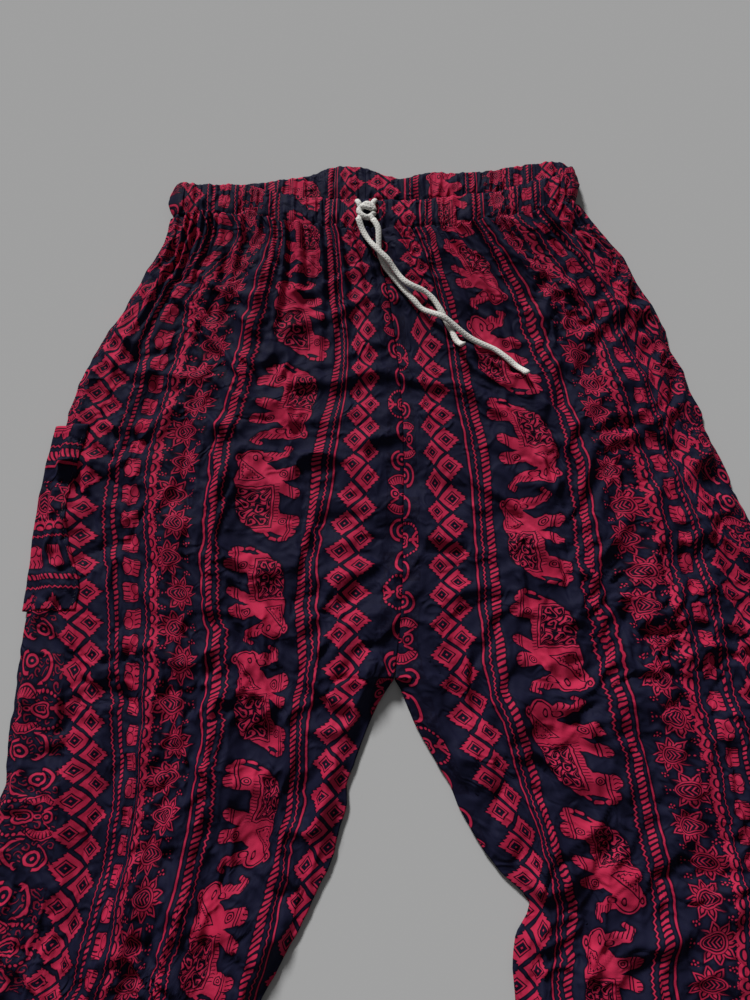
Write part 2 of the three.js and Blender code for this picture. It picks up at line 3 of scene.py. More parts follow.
import bmesh
import bpy
import numpy as np
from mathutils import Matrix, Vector


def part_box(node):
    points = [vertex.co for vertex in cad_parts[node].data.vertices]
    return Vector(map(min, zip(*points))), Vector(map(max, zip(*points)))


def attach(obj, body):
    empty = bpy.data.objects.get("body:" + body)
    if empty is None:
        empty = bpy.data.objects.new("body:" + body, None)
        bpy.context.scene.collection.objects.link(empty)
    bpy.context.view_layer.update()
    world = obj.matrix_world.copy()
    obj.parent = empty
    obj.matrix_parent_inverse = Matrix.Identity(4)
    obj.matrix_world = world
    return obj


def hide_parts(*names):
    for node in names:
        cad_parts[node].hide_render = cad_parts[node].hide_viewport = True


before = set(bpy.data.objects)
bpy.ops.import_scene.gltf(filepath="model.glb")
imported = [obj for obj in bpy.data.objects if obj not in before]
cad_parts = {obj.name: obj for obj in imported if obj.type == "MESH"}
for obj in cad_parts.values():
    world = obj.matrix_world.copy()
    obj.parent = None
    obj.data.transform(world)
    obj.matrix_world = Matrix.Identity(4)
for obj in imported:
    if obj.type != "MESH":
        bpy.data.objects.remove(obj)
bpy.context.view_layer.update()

# Drawstring trousers of printed cloth, laid flat on their back. The tables are in millimetres, in the
# plan that the solids are drawn in: +X to the wearer's left, +Y to the waistband, +Z up.

CLOTH = 1.2  # thickness of the solids' cloth
DRAWN = 0.7  # thickness of the cloth drawn here
LAYER_GAP = 0.5  # between a front panel and the back panel under it
SEAM_GAP = 0.3  # between pieces that are sewn to each other
BACK_FOOT_GAP = 0.8  # a back panel keeps this far from the casing
FRONT_FOOT_GAP = 0.1  # a front panel's drawn cloth keeps this far from it
CASING = 3.0  # thickness of the casing
MOUTH_GAP = 7.0  # the flat waistband stays this far open
BAND_HALF = 172  # half the flat waistband's width
LIFT_REACH = 60.0  # over this distance the front settles and the gathers die away
LIFT_EDGE = 30.0  # the front rises over this width from the side seam
SOFT_EDGE = 16.0  # the folds fade over this width at a panel's edges
POCKET_LIFT = 1.5  # the back panel lies this high on the pocket
# and comes off it over these distances: at its foot, at its top and away from the side seam
POCKET_LOW, POCKET_HIGH, POCKET_ASIDE = (5, 50), (250, 295), (100, 200)
CROTCH_ROW = 9
CROTCH_Y = 33
LAST_ROW = 19
HEM_ROW = LAST_ROW - 0.25  # the turned hem starts here
HEM_RISE = 0.6  # and stands this much above the cloth
EDGE_STEPS = 3000  # a leg's edges are read in this many steps
PRINT_SHIFT = 1.3  # the print shifts this far for each millimetre that the folds take up
PRINT_SHARE = 0.36  # share across a leg at which the print's place down it is read
CORD = 4.5
KNOT = (-7.0, 411.0)

# foot and rim are the casing's lower and upper edges on the front, back_ the same on the back
WAIST_COLUMNS = ("x", "foot", "rim", "back_foot", "back_rim")
WAIST = (
    (-172, 408, 439, 408, 439),
    (-144, 407, 437, 411, 444),
    (-107, 404, 436, 414, 445),
    (-78, 399, 428, 418, 450),
    (-52, 395, 424, 422, 455),
    (-34, 394, 423, 424, 463),
    (-8, 393, 422, 426, 461),
    (20, 393, 422, 426, 451),
    (45, 394, 423, 427, 457),
    (74, 397, 427, 429, 457),
    (104, 403, 431, 431, 460),
    (137, 410, 441, 432, 466),
    (158, 417, 448, 430, 468),
    (172, 422, 459, 422, 460),
)

LEG_COLUMNS = ("inner_x", "inner_y", "outer_x", "outer_y")
RIGHT_LEG = (
    (-4, 392, -170, 407),
    (6, 359, -182, 366),
    (13, 320, -203, 323),
    (18, 280, -226, 277),
    (21, 240, -235, 238),
    (22, 195, -243, 193),
    (21, 150, -246, 150),
    (20, 105, -247, 105),
    (17.5, 66, -250, 64),
    (13, 33, -251, 28),
    (-5, 3, -251.5, -4),
    (-19, -42, -252, -46),
    (-30, -84, -254, -85),
    (-45, -118, -256, -120),
    (-72, -166, -259, -161),
    (-83, -210, -266, -193),
    (-94, -254, -274, -226),
    (-118, -344, -292, -308),
    (-141, -436, -310, -396),
    (-163, -524, -329, -484),
)
LEFT_LEG = (
    (-4, 392, 171, 421),
    (6, 359, 206, 366),
    (13, 320, 226, 320),
    (18, 280, 239, 277),
    (21, 240, 251, 240),
    (22, 195, 263, 193),
    (21, 150, 279, 150),
    (20, 105, 297, 108),
    (17.5, 66, 307, 66),
    (14, 33, 310, 28),
    (28, 3, 313, -8),
    (52, -42, 321, -48),
    (77, -85, 328, -85),
    (101, -109, 331, -108),
    (92, -130, 333, -131),
    (88, -166, 335, -160),
    (106, -250, 344, -228),
    (141, -340, 355, -308),
    (177, -430, 367, -392),
    (213, -519, 379, -477),
)

# Where the print's lines run: x of the line that is this many millimetres of cloth from the centre
# front, at each height y of the plan, and how far down the cloth that height is.
PRINT_LINES = (0, 40, 68, 105, 135, 170, 187, 208, 225, 250)
RIGHT_PRINT = (
    # y, down, then one x for each line
    (408, -28, -5, -24, -40, -60, -84, -103, -113, -126, -138, -154),
    (385, -4, 2, -16, -34, -56, -81, -97, -108, -122, -134, -150),
    (333, 58, 12, -10, -30, -61, -88, -121, -143, -158, -169, -181),
    (297, 95, 17, -10, -25, -55, -97, -126, -150, -167, -181, -201),
    (262, 131, 20, -8, -26, -58, -100, -135, -155, -170, -183, -206),
    (204, 191, 21, -10, -35, -78, -113, -145, -164, -180, -193, -217),
    (165, 230, 22, -13, -39, -78, -115, -149, -165, -183, -197, -223),
    (126, 269, 21, -18, -46, -82, -117, -147, -162, -178, -194, -220),
    (89, 307, 19, -20, -48, -82, -116, -141, -157, -173, -187, -213),
    (47, 349, 15, -17, -46, -79, -108, -137, -157, -169, -182, -204),
    (19, 377, 9, -23, -50, -77, -107, -138, -156, -166, -179, -201),
    (-46, 443, 5, -31, -54, -75, -112, -140, -157, -162, -172, -192),
    (-107, 505, -8, -45, -65, -98, -122, -150, -160, -170, -180, -195),
    (-164, 562, -30, -60, -80, -112, -134, -160, -170, -182, -192, -207),
    (-260, 660, -50, -80, -100, -130, -156, -186, -200, -216, -230, -250),
    (-500, 910, -70, -105, -130, -165, -195, -230, -247, -268, -284, -308),
)
LEFT_PRINT = (
    (408, 2, -4, 18, 36, 55, 80, 100, 111, 124, 135, 150),
    (385, 33, 2, 25, 44, 66, 90, 112, 128, 144, 154, 166),
    (333, 89, 12, 36, 55, 86, 114, 147, 162, 174, 186, 194),
    (297, 120, 17, 38, 62, 94, 123, 158, 176, 186, 195, 206),
    (262, 158, 20, 42, 66, 100, 139, 164, 181, 200, 209, 217),
    (204, 218, 21, 48, 76, 116, 150, 178, 198, 212, 222, 230),
    (165, 255, 22, 51, 79, 112, 151, 181, 205, 222, 230, 241),
    (126, 294, 21, 53, 80, 113, 153, 188, 210, 227, 236, 254),
    (89, 332, 19, 54, 80, 120, 154, 193, 214, 232, 241, 262),
    (54, 368, 16, 56, 82, 119, 159, 200, 221, 235, 245, 264),
    (19, 403, 24, 64, 88, 124, 167, 200, 220, 237, 248, 266),
    (-46, 470, 50, 87, 105, 140, 178, 206, 228, 243, 256, 276),
    (-107, 537, 66, 104, 121, 153, 184, 216, 234, 248, 260, 280),
    (-164, 598, 58, 96, 117, 147, 178, 214, 232, 252, 268, 290),
    (-260, 696, 78, 114, 136, 168, 196, 230, 248, 268, 284, 310),
    (-500, 946, 120, 158, 183, 218, 246, 280, 296, 316, 332, 356),
)

# The largest folds, as in the solids: from, to, half breadth and height, a trough if negative
RIGHT_FOLDS = (
    (-87, 372, -110, 225, 12, 3.2),
    (-111, 205, -116, 70, 11, 3.6),
    (-150, 372, -190, 250, 11, -2.4),
    (-172, 352, -206, 262, 10, 3),
    (-103, 58, -66, 2, 10, 3.2),
    (-110, 28, -124, -76, 12, 4.2),
    (-124, -82, -136, -190, 13, 4.8),
    (-157, 54, -155, -62, 10, 2.6),
    (-156, -78, -170, -180, 11, 4.4),
    (4, 48, -34, 14, 8, 2.4),
    (-22, -12, -42, -74, 9, 2.6),
    (-60, -110, -96, -210, 11, 3.4),
    (-210, -10, -214, -120, 12, 2.2),
    (-150, -250, -196, -400, 15, 3.6),
    (-216, -260, -262, -430, 14, 2.8),
)
LEFT_FOLDS = (
    (100, 382, 152, 302, 10, 3.6),
    (152, 384, 212, 300, 11, 3.8),
    (174, 292, 222, 200, 12, 3.2),
    (74, 284, 112, 256, 11, -2.2),
    (112, 262, 150, 208, 9, 3.8),
    (152, 206, 176, 110, 12, 2.6),
    (236, 186, 252, 64, 12, 3.6),
    (84, 28, 104, -44, 10, 3),
    (104, -46, 122, -100, 9, 4),
    (196, 40, 214, -60, 11, 3.4),
    (150, -137, 206, -124, 8, 4.6),
    (206, -124, 282, -86, 9, 4.2),
    (98, -110, 150, -82, 8, 2.8),
    (26, 44, 56, 10, 8, 2.2),
    (262, 10, 276, -70, 13, 3),
    (180, -160, 220, -300, 15, 4),
    (258, -190, 296, -380, 15, 3.2),
)

# Where the plan's zero lies in the row's frame
SHIFT_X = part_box("front_left")[1].x - LEFT_LEG[-1][2] / 1000
SHIFT_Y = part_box("front_right")[0].y - RIGHT_LEG[-1][1] / 1000


def place(x, y, z):
    return (x * 0.001 + SHIFT_X, y * 0.001 + SHIFT_Y, z * 0.001)


def smoothstep(value, low, high):
    share = np.clip((value - low) / (high - low), 0, 1)
    return share * share * (3 - 2 * share)


def smooth_read(values, at):
    """Catmull-Rom reading of a list of values at a fractional index."""
    values = np.asarray(values, float)
    at = np.clip(at, 0, len(values) - 1)
    i = np.minimum(np.floor(at).astype(int), len(values) - 2)
    s = at - i
    a = values[np.maximum(i - 1, 0)]
    b = values[i]
    c = values[i + 1]
    d = values[np.minimum(i + 2, len(values) - 1)]
    return b + s / 2 * (c - a + s * (2 * a - 5 * b + 4 * c - d + s * (3 * (b - c) + d - a)))


def waist(name, x):
    rows = np.array(WAIST, float)
    index = np.interp(x, rows[:, 0], np.arange(len(rows)))
    return smooth_read(rows[:, WAIST_COLUMNS.index(name)], index)


def value_noise(x, y, seed):
    """Smooth noise from 0 to 1 over a lattice of one unit."""
    lattice = np.random.RandomState(seed).rand(64, 64)
    i, j = np.floor(x).astype(int), np.floor(y).astype(int)
    s, t = x - i, y - j
    s, t = s * s * (3 - 2 * s), t * t * (3 - 2 * t)
    low = lattice[i % 64, j % 64] * (1 - s) + lattice[(i + 1) % 64, j % 64] * s
    high = lattice[i % 64, (j + 1) % 64] * (1 - s) + lattice[(i + 1) % 64, (j + 1) % 64] * s
    return low * (1 - t) + high * t


class Leg:
    """One leg's plan, its folds and its print. Rows run down the leg, a runs across from 0 at the
    centre seam and the inseam to 1 at the side seam."""

    def __init__(self, side, table, folds, print_table):
        self.side = side
        self.table = np.array(table, float)
        self.folds = folds
        self.print_table = np.array(print_table[::-1], float)

    def edge(self, name, row):
        values = self.table[:, LEG_COLUMNS.index(name)]
        if name.startswith("outer"):
            return smooth_read(values, row)
        seam = smooth_read(values[: CROTCH_ROW + 1], row)
        inseam = smooth_read(values[CROTCH_ROW:], row - CROTCH_ROW)
        return np.where(row <= CROTCH_ROW, seam, inseam)

    def edge_at(self, side, y):
        """x of the inner or outer edge at each height."""
        rows = np.linspace(0, LAST_ROW, EDGE_STEPS)
        return np.interp(-y, -self.edge(side + "_y", rows), self.edge(side + "_x", rows))

    def plan(self, a, row, foot, gap):
        ix, iy = self.edge("inner_x", row), self.edge("inner_y", row)
        ox, oy = self.edge("outer_x", row), self.edge("outer_y", row)
        x = ix + (ox - ix) * a + self.side * SEAM_GAP / 2 * (1 - a)
        y = iy + (oy - iy) * a
        top = self.table[0]
        top_x = top[0] + (top[2] - top[0]) * a
        top_y = top[1] + (top[3] - top[1]) * a
        blend = np.maximum(0, 1 - row / 3) ** 2
        y = y + blend * (waist(foot, top_x) - gap - top_y)
        return x, y, np.hypot(ox - ix, oy - iy)

    def below_foot(self, a, y):
        top = self.table[0]
        return np.maximum(0, waist("foot", top[0] + (top[2] - top[0]) * a) - y)

    def band_share(self, a, y):
        return np.exp(-((self.below_foot(a, y) / LIFT_REACH) ** 2))

    def pocket_lift(self, a, y, width):
        if self.side > 0:
            return 0 * a * y
        across = 1 - smoothstep((1 - a) * width, *POCKET_ASIDE)
        return POCKET_LIFT * across * smoothstep(y, *POCKET_LOW) * (1 - smoothstep(y, *POCKET_HIGH))

    def back_underside(self, a, y, width):
        near = 1 - smoothstep((1 - a) * width, 0, LIFT_EDGE)
        return MOUTH_GAP / 2 * self.band_share(a, y) * near + self.pocket_lift(a, y, width)

    def print_place(self, x, y):
        """Place across the cloth, from the centre front outwards."""
        rows = self.print_table
        index = np.interp(y, rows[:, 0], np.arange(len(rows)))
        lines = np.stack([smooth_read(rows[:, 2 + k], index) for k in range(len(PRINT_LINES))])
        across = self.side * lines
        at = self.side * x
        steps = np.diff(across, axis=0)
        first = np.clip(steps[0] / 40, 0.5, 1.2)
        last = np.clip(steps[-1] / 25, 0.7 + 0.45 * smoothstep(y, 60, -40), 1.2)
        u = (at - across[0]) / first
        for k in range(len(PRINT_LINES) - 1):
            share = (at - across[k]) / steps[k]
            here = PRINT_LINES[k] + share * (PRINT_LINES[k + 1] - PRINT_LINES[k])
            u = np.where(share >= 0, here, u)
        beyond = (at - across[-1]) / last
        return np.where(beyond >= 0, PRINT_LINES[-1] + beyond, u)

    def cloth_down(self, row):
        """Place down the print's repeat: the two legs are cut from it the opposite way up."""
        rows = self.print_table
        iy, oy = self.edge("inner_y", row), self.edge("outer_y", row)
        index = np.interp(iy + (oy - iy) * PRINT_SHARE, rows[:, 0], np.arange(len(rows)))
        down = smooth_read(rows[:, 1], index)
        return down - 136 if self.side > 0 else 2 - down


RIGHT = Leg(-1, RIGHT_LEG, RIGHT_FOLDS, RIGHT_PRINT)
LEFT = Leg(1, LEFT_LEG, LEFT_FOLDS, LEFT_PRINT)


def fold_height(fold, x, y):
    x0, y0, x1, y1, width, height = fold
    dx, dy = x1 - x0, y1 - y0
    along = ((x - x0) * dx + (y - y0) * dy) / (dx * dx + dy * dy)
    end = np.minimum(smoothstep(along, -0.12, 0.25), 1 - smoothstep(along, 0.75, 1.12))
    off = np.abs((x - x0) * dy - (y - y0) * dx) / math.hypot(dx, dy)
    return height * end * np.exp(-((off / width) ** 2))


def gathers(leg, a, share):
    """Gathers below the casing: the solids' wide ones and finer, uneven ones between them."""
    drift = 0.16 * np.sin(9 * a + leg.side) + 0.1 * np.sin(23 * a + 2)
    wave = 0.5 + 0.5 * np.cos(2 * math.pi * (11 * a + drift))
    uneven = 0.75 + 0.25 * np.sin(31 * a + 4 * leg.side)
    wide = 2.0 * wave * uneven * share
    drift = 0.5 * np.sin(17 * a + 2 * leg.side) + 0.3 * np.sin(41 * a)
    fine = np.abs(np.cos(math.pi * (23 * a + drift))) ** 1.5
    strong = 0.5 + 0.5 * np.sin(12.3 * a + 1 + leg.side) * np.sin(29 * a)
    return 1.3 * wide, 5.2 * (fine - 0.4) * strong * share


def long_gathers(leg, a):
    """Uneven folds that run on from the gathers down to the hips."""
    drift = 0.6 * np.sin(11 * a + 3 * leg.side) + 0.35 * np.sin(27 * a + 1)
    strong = 0.45 + 0.55 * np.sin(8.7 * a + 2 + 2 * leg.side) ** 2
    return 4.2 * (np.abs(np.cos(math.pi * (10.5 * a + drift))) ** 2.2 - 0.35) * strong


def ridges(x, y, seed, power=1.8):
    """Sharp-topped creases from 0 to 1, the narrower the higher the power."""
    return (1 - np.abs(2 * value_noise(x + 40, y + 40, seed) - 1)) ** power


def crumple(x, y):
    """Soft creases all over the cloth, drawn out along each leg."""
    lean = 0.26 * np.tanh(x / 70) + 0.3 * smoothstep(x, 20, 140) * smoothstep(y, -40, 120)
    warp_x = x + 30 * (value_noise(x / 52 + 9, y / 61 + 9, 20) - 0.5) + 10 * value_noise(x / 19, y / 23, 21)
    warp_y = y + 38 * (value_noise(x / 47 + 5, y / 58 + 3, 22) - 0.5) + 8 * value_noise(x / 17, y / 21, 29)
    along, across = warp_y + lean * warp_x, warp_x - lean * warp_y
    swell = value_noise(across / 29 + 20, along / 58 + 20, 23)
    long_ones = ridges(across / 24, along / 58, 24)
    slanting = ridges((across + 0.7 * along) / 26, (along - 0.6 * across) / 44, 25)
    crossing = ridges((across - 0.7 * along) / 19, (along + 0.7 * across) / 36, 26)
    fine = ridges((across + 0.2 * along) / 11, along / 26, 27)
    small = ridges((across - 0.3 * along) / 7.5, (along + 0.3 * across) / 15, 30)
    where = value_noise(across / 58 + 2, along / 80 + 2, 28)
    rough = smoothstep(value_noise(across / 26 + 8, along / 34 + 8, 31), 0.25, 0.75)
    total = 3.0 * (swell - 0.4) + 3.8 * (long_ones - 0.3) * (0.4 + 1.1 * where)
    total = total + 3.6 * (slanting - 0.3) * (1.35 - where) + 2.3 * (crossing - 0.3)
    total = total + (0.5 + 1.4 * rough) * (1.3 * (fine - 0.3) + 0.85 * (small - 0.3)) + 1.8
    total = total - 2.0 * ridges(across / 37, along / 64, 32, 8)
    return total - 1.3 * ridges((across + 0.8 * along) / 21, (along - 0.8 * across) / 34, 33, 8)


def front_height(leg, a, x, y, width):
    """Height of a front panel's upper face."""
    from_side = (1 - a) * width
    from_inner = a * width
    edge = smoothstep(from_side, 0, SOFT_EDGE)
    inner = smoothstep(from_inner, np.where(y < CROTCH_Y, 0, -4), SOFT_EDGE)
    share = leg.band_share(a, y)
    below = leg.below_foot(a, y)
    lift = (CASING + MOUTH_GAP - CLOTH - LAYER_GAP) * smoothstep(from_side, 0, LIFT_EDGE) * share
    folds = sum(fold_height(fold, x, y) for fold in leg.folds)
    wide, fine = gathers(leg, a, share)
    relief = edge * inner * (np.maximum(folds, 0) + wide)
    dip = np.maximum(edge * inner * np.minimum(folds, 0), -0.8 * lift)
    height = leg.back_underside(a, y, width) + 2 * CLOTH + LAYER_GAP + lift + relief + dip
    seam = np.exp(-((from_inner / 2.5) ** 2)) * (y > CROTCH_Y)
    inner = np.where(y > CROTCH_Y, 0.75 + 0.25 * inner, inner)
    edge = smoothstep(from_side, 0, 9)
    fine = fine + 1.1 * np.exp(-((below / 14) ** 2)) + long_gathers(leg, a) * np.exp(-((below / 120) ** 2))
    fine = fine + 0.5 * np.maximum(folds, 0) * (1 - 0.5 * share)
    fine = edge * inner * (fine + np.maximum(1.28 * crumple(x, y) * (1 - 0.45 * share**2), -1.3))
    return height + fine - 0.5 * seam


class Cloth:
    """A material's node tree, with arithmetic on its sockets."""

    def __init__(self, name):
        self.material = bpy.data.materials.new(name)
        self.material.use_nodes = True
        self.tree = self.material.node_tree
        self.shader = self.tree.nodes["Principled BSDF"]

    def node(self, kind, settings=None, inputs=None):
        made = self.tree.nodes.new(kind)
        for key, value in (settings or {}).items():
            setattr(made, key, value)
        for key, value in (inputs or {}).items():
            self.feed(made.inputs[key], value)
        return made

    def feed(self, socket, value):
        if isinstance(value, Wire):
            self.tree.links.new(value.socket, socket)
        else:
            socket.default_value = value

    def look(self, name, value):
        self.feed(self.shader.inputs[name], value)

    def wire(self, kind, settings=None, inputs=None, output=0):
        return Wire(self, self.node(kind, settings, inputs).outputs[output])

    def math(self, operation, *values, clamp=False):
        made = self.node("ShaderNodeMath", {"operation": operation, "use_clamp": clamp})
        for socket, value in zip(made.inputs, values):
            self.feed(socket, value)
        return Wire(self, made.outputs[0])

    def vector(self, operation, *values, output=0):
        made = self.node("ShaderNodeVectorMath", {"operation": operation})
        for socket, value in zip(made.inputs, values):
            self.feed(socket, value)
        return Wire(self, made.outputs[output])

    def colour(self, factor, a, b):
        made = self.node("ShaderNodeMix", {"data_type": "RGBA"})
        self.feed(made.inputs[0], factor)
        self.feed(made.inputs[6], a)
        self.feed(made.inputs[7], b)
        return Wire(self, made.outputs[2])


class Wire:
    """The number that a socket gives at each point of a surface."""

    def __init__(self, cloth, socket):
        self.cloth = cloth
        self.socket = socket

    def __neg__(self):
        return self.cloth.math("MULTIPLY", self, -1.0)

    def __abs__(self):
        return self.cloth.math("ABSOLUTE", self)

    def sine(self):
        return self.cloth.math("SINE", self)

    def fold(self, period):
        """Distance from the nearest multiple of the period, with its sign."""
        return self.cloth.math("WRAP", self, period / 2, -period / 2)

    def size(self):
        """A vector's length."""
        return self.cloth.vector("LENGTH", self, output=1)

    def parts(self):
        made = self.cloth.node("ShaderNodeSeparateXYZ", inputs={0: self})
        return Wire(self.cloth, made.outputs[0]), Wire(self.cloth, made.outputs[1])


def wire_method(operation, swapped=False):
    def method(self, other):
        return self.cloth.math(operation, *((other, self) if swapped else (self, other)))

    return method


for name, operation in (("add", "ADD"), ("sub", "SUBTRACT"), ("mul", "MULTIPLY"), ("truediv", "DIVIDE")):
    setattr(Wire, "__%s__" % name, wire_method(operation))
    setattr(Wire, "__r%s__" % name, wire_method(operation, swapped=True))
for name, operation in (
    ("__pow__", "POWER"), ("below", "LESS_THAN"), ("above", "GREATER_THAN"), ("least", "MINIMUM"),
    ("most", "MAXIMUM"), ("angle", "ARCTAN2"),
):
    setattr(Wire, name, wire_method(operation))


def join_points(x, y):
    return x.cloth.wire("ShaderNodeCombineXYZ", inputs={0: x, 1: y})


def distance(x, y):
    """Distance from the point where x and y are 0."""
    return join_points(x, y).size()


def by_turns(down, period):
    """1 and -1 by turns down the cloth, each for half a period."""
    return abs(down.fold(period)).above(period / 4) * 2.0 - 1.0


def stroke(point, start, end, radius):
    """Distance to a round-ended stroke."""
    cloth = point.cloth
    dx, dy = end[0] - start[0], end[1] - start[1]
    size = dx * dx + dy * dy
    from_start = cloth.vector("SUBTRACT", point, (start[0], start[1], 0))
    along = cloth.vector("DOT_PRODUCT", from_start, (dx / size, dy / size, 0), output=1)
    along = cloth.math("MULTIPLY", along, 1.0, clamp=True)
    off = cloth.vector("MULTIPLY_ADD", along, (-dx, -dy, 0), from_start)
    return off.size() - radius


def oval(point, centre, rx, ry):
    """Rough distance to an oval."""
    scaled = point.cloth.vector(
        "MULTIPLY_ADD", point, (1 / rx, 1 / ry, 0), (-centre[0] / rx, -centre[1] / ry, 0)
    )
    return (scaled.size() - 1.0) * min(rx, ry)


REPEAT = 150.0
# The middle of each column, in millimetres of cloth from the centre front. The diamonds and the
# medallions come twice across the cloth: the second time beyond OUTER.
ELEPHANTS, LOTUSES, SCALLOPS, SMALL_ELEPHANTS = 105.0, 170.0, 189.4, 208.0
DIAMONDS, DIAMONDS_APART = 40.0, 210.0
MEDALLIONS, MEDALLIONS_APART = -5.0, 289.0
OUTER = 150.0
ELEPHANT_OVALS = (
    # x, y, half length, half height: x runs from the tail to the trunk, y from the feet to the back
    (-17.5, 0.8, 12, 9.2),
    (-7, 5.6, 18, 12.6),
    (9, 6.2, 13, 13.4),
    (23.8, 10.4, 9.8, 8.9),
    (26.3, 19.0, 3.4, 2.8),
)
ELEPHANT_STROKES = (
    # from, to, half breadth: trunk, four legs and tail
    (25.5, 6, 28.3, -3, 4.1),
    (28.3, -3, 29.6, -9.5, 2.8),
    (29.6, -9.5, 33.6, -12.4, 2.0),
    (33.6, -12.4, 35.6, -8.8, 1.4),
    (12.5, -4, 14.5, -16.2, 4.6),
    (5.5, -5, -0.5, -16.8, 3.8),
    (-19, -4, -21.5, -17.6, 4.8),
    (-25, -3, -30.5, -16.6, 3.3),
    (-28, 1.5, -31.6, -2.5, 0.8),
    (-33.6, -5, -34.6, -8.5, 1.0),
    (-34.8, -12, -34.4, -15.5, 1.7),
)


def elephant(point):
    """A walking elephant with a patterned blanket, from the side. Returns the distance to its
    outline, and to the ink inside it."""
    x, y = point.parts()
    shape = None
    for cx, cy, rx, ry in ELEPHANT_OVALS:
        part = oval(point, (cx, cy), rx, ry)
        shape = part if shape is None else shape.least(part)
    for x0, y0, x1, y1, radius in ELEPHANT_STROKES:
        shape = shape.least(stroke(point, (x0, y0), (x1, y1), radius))
    ear = (y - 17.2).most(0.719 * x - 0.695 * y - 6.16).most(-0.992 * x - 0.128 * y + 10.9)
    frill = abs(ear + abs((x + y).fold(2.6)) * 0.8 + 1.3)
    lines = abs(ear).least(frill)
    lines = lines.least(abs(oval(point, (26.5, 8.6), 2.2, 1.3)))
    lines = lines.least(abs(oval(point, (25.6, 1.0), 2.0, 3.2)).most(x - 27.0))
    lines = lines.least(abs(oval(point, (26.5, 19.3), 1.6, 1.1)))
    lines = lines.least(abs(oval(point, (22.6, 10.6), 9.8, 7.4)).most(25.5 - x))
    border = (abs(x + 10.2) - 15.6).most(-3.4 - y)
    lines = lines.least(abs(border)).least(abs(border + 1.9))
    lines = lines.least((abs(x.fold(2.1)) + 0.1).most(abs(y + 5.4) - 1.1).most(abs(x + 8.0) - 14.0))
    wave_x = x + (y * 0.6).sine() * 1.5
    wave_y = y + (x * 0.5).sine() * 1.6
    across, up = (wave_x + wave_y * 0.4).fold(8.8), (wave_y - wave_x * 0.25 - 1.0).fold(7.0)
    radius = distance(across, up)
    turn = up.angle(across)
    comma = abs(radius + turn * 0.42 - 2.5) - 0.5
    comma = comma.least(abs(radius - 0.5) - 0.1).least(abs(radius - 4.0) - 0.12)
    lines = lines.least(comma.most(border + 2.6))
    lines = lines.least(abs(y + 13.6).least(abs(y + 15.4)).most(y + 12.0))
    lines = lines.least(abs((x + y * 0.1).fold(2.7)).most(y + 17.6))
    for at in ((14.0, -9.4), (-21, -10.6)):
        lines = lines.least(abs(abs(oval(point, at, 1.9, 1.9)) - 0.75))
    lines = lines.least(abs((y + x * 0.4).fold(2.5)).most(28.6 - x).most(y - 1.0))
    return shape, shape.most(0.36 - lines)


def small_elephants(u, down):
    """A file of small, blocky elephants that walk either way by turns."""
    way = by_turns(down, REPEAT / 4)
    point = join_points(way * down.fold(REPEAT / 8) * 1.1, way * (u - SMALL_ELEPHANTS) * 0.92)
    x, y = point.parts()
    corner = join_points((abs(x) - 5.0).most(0.0), (abs(y) - 4.6).most(0.0))
    shape = (corner.size() - 2.2).most(y + abs(x + 1.6) * 0.35 - 7.2)
    lines = (abs((x + 0.6).fold(3.6)) - 0.15).most(y + 2.2)
    lines = lines.least(abs(oval(point, (-2.4, 3.2), 4.2, 3.4)))
    lines = lines.least(abs(oval(point, (4.0, 3.4), 2.0, 2.8)).most(2.6 - x))
    lines = lines.least(abs(x - 5.6 - y * 0.12).most(y - 2.0))
    return shape.most(0.34 - lines)


def diamonds(off, down):
    """Two interlocking columns of nested diamonds about off = 0, with notched outer edges."""
    period = REPEAT / 7
    aside = abs(off)
    half = off.above(0.0) * (period / 2)
    wide, high = 10.9, 9.7
    own = abs(aside - 7.0) / wide + abs((down + half).fold(period)) / high
    other = (aside + 7.0) / wide + abs((down + half + period / 2).fold(period)) / high
    m = own.least(other)
    teeth = abs((down + half).fold(2.4)) * 0.15
    outer = m + teeth * aside.above(7.2)
    ring = (m - 0.57).most(0.46 - m)
    core = (m - 0.35).most(0.08 - m)
    return (outer - 1.0).most(-ring).most(-core) * 7.4


def edgings(u, down):
    """Plain lines, zigzag lines and ropes between the columns."""
    zigzag = u + abs(down.fold(3.8)) * 0.66 - 0.6
    lines = abs(zigzag - 67.0)
    for at in (131.5, 194.5, 228.5):
        lines = lines.least(abs(zigzag - at))
    lines = lines - 0.45
    lines = lines.least(abs(u - 62.0) - 0.7).least(abs(u - 146.0) - 0.75)
    twist = abs((down + u * 0.48).fold(3.6)) - 1.0
    ropes = (abs(u - 74.0) - 2.9).least(abs(u - 138.5) - 3.2).least(abs(u - 221.5) - 1.7)
    bulge = twist * 0.5 + 0.3
    return lines.least(ropes.most(twist).most(ropes + bulge))


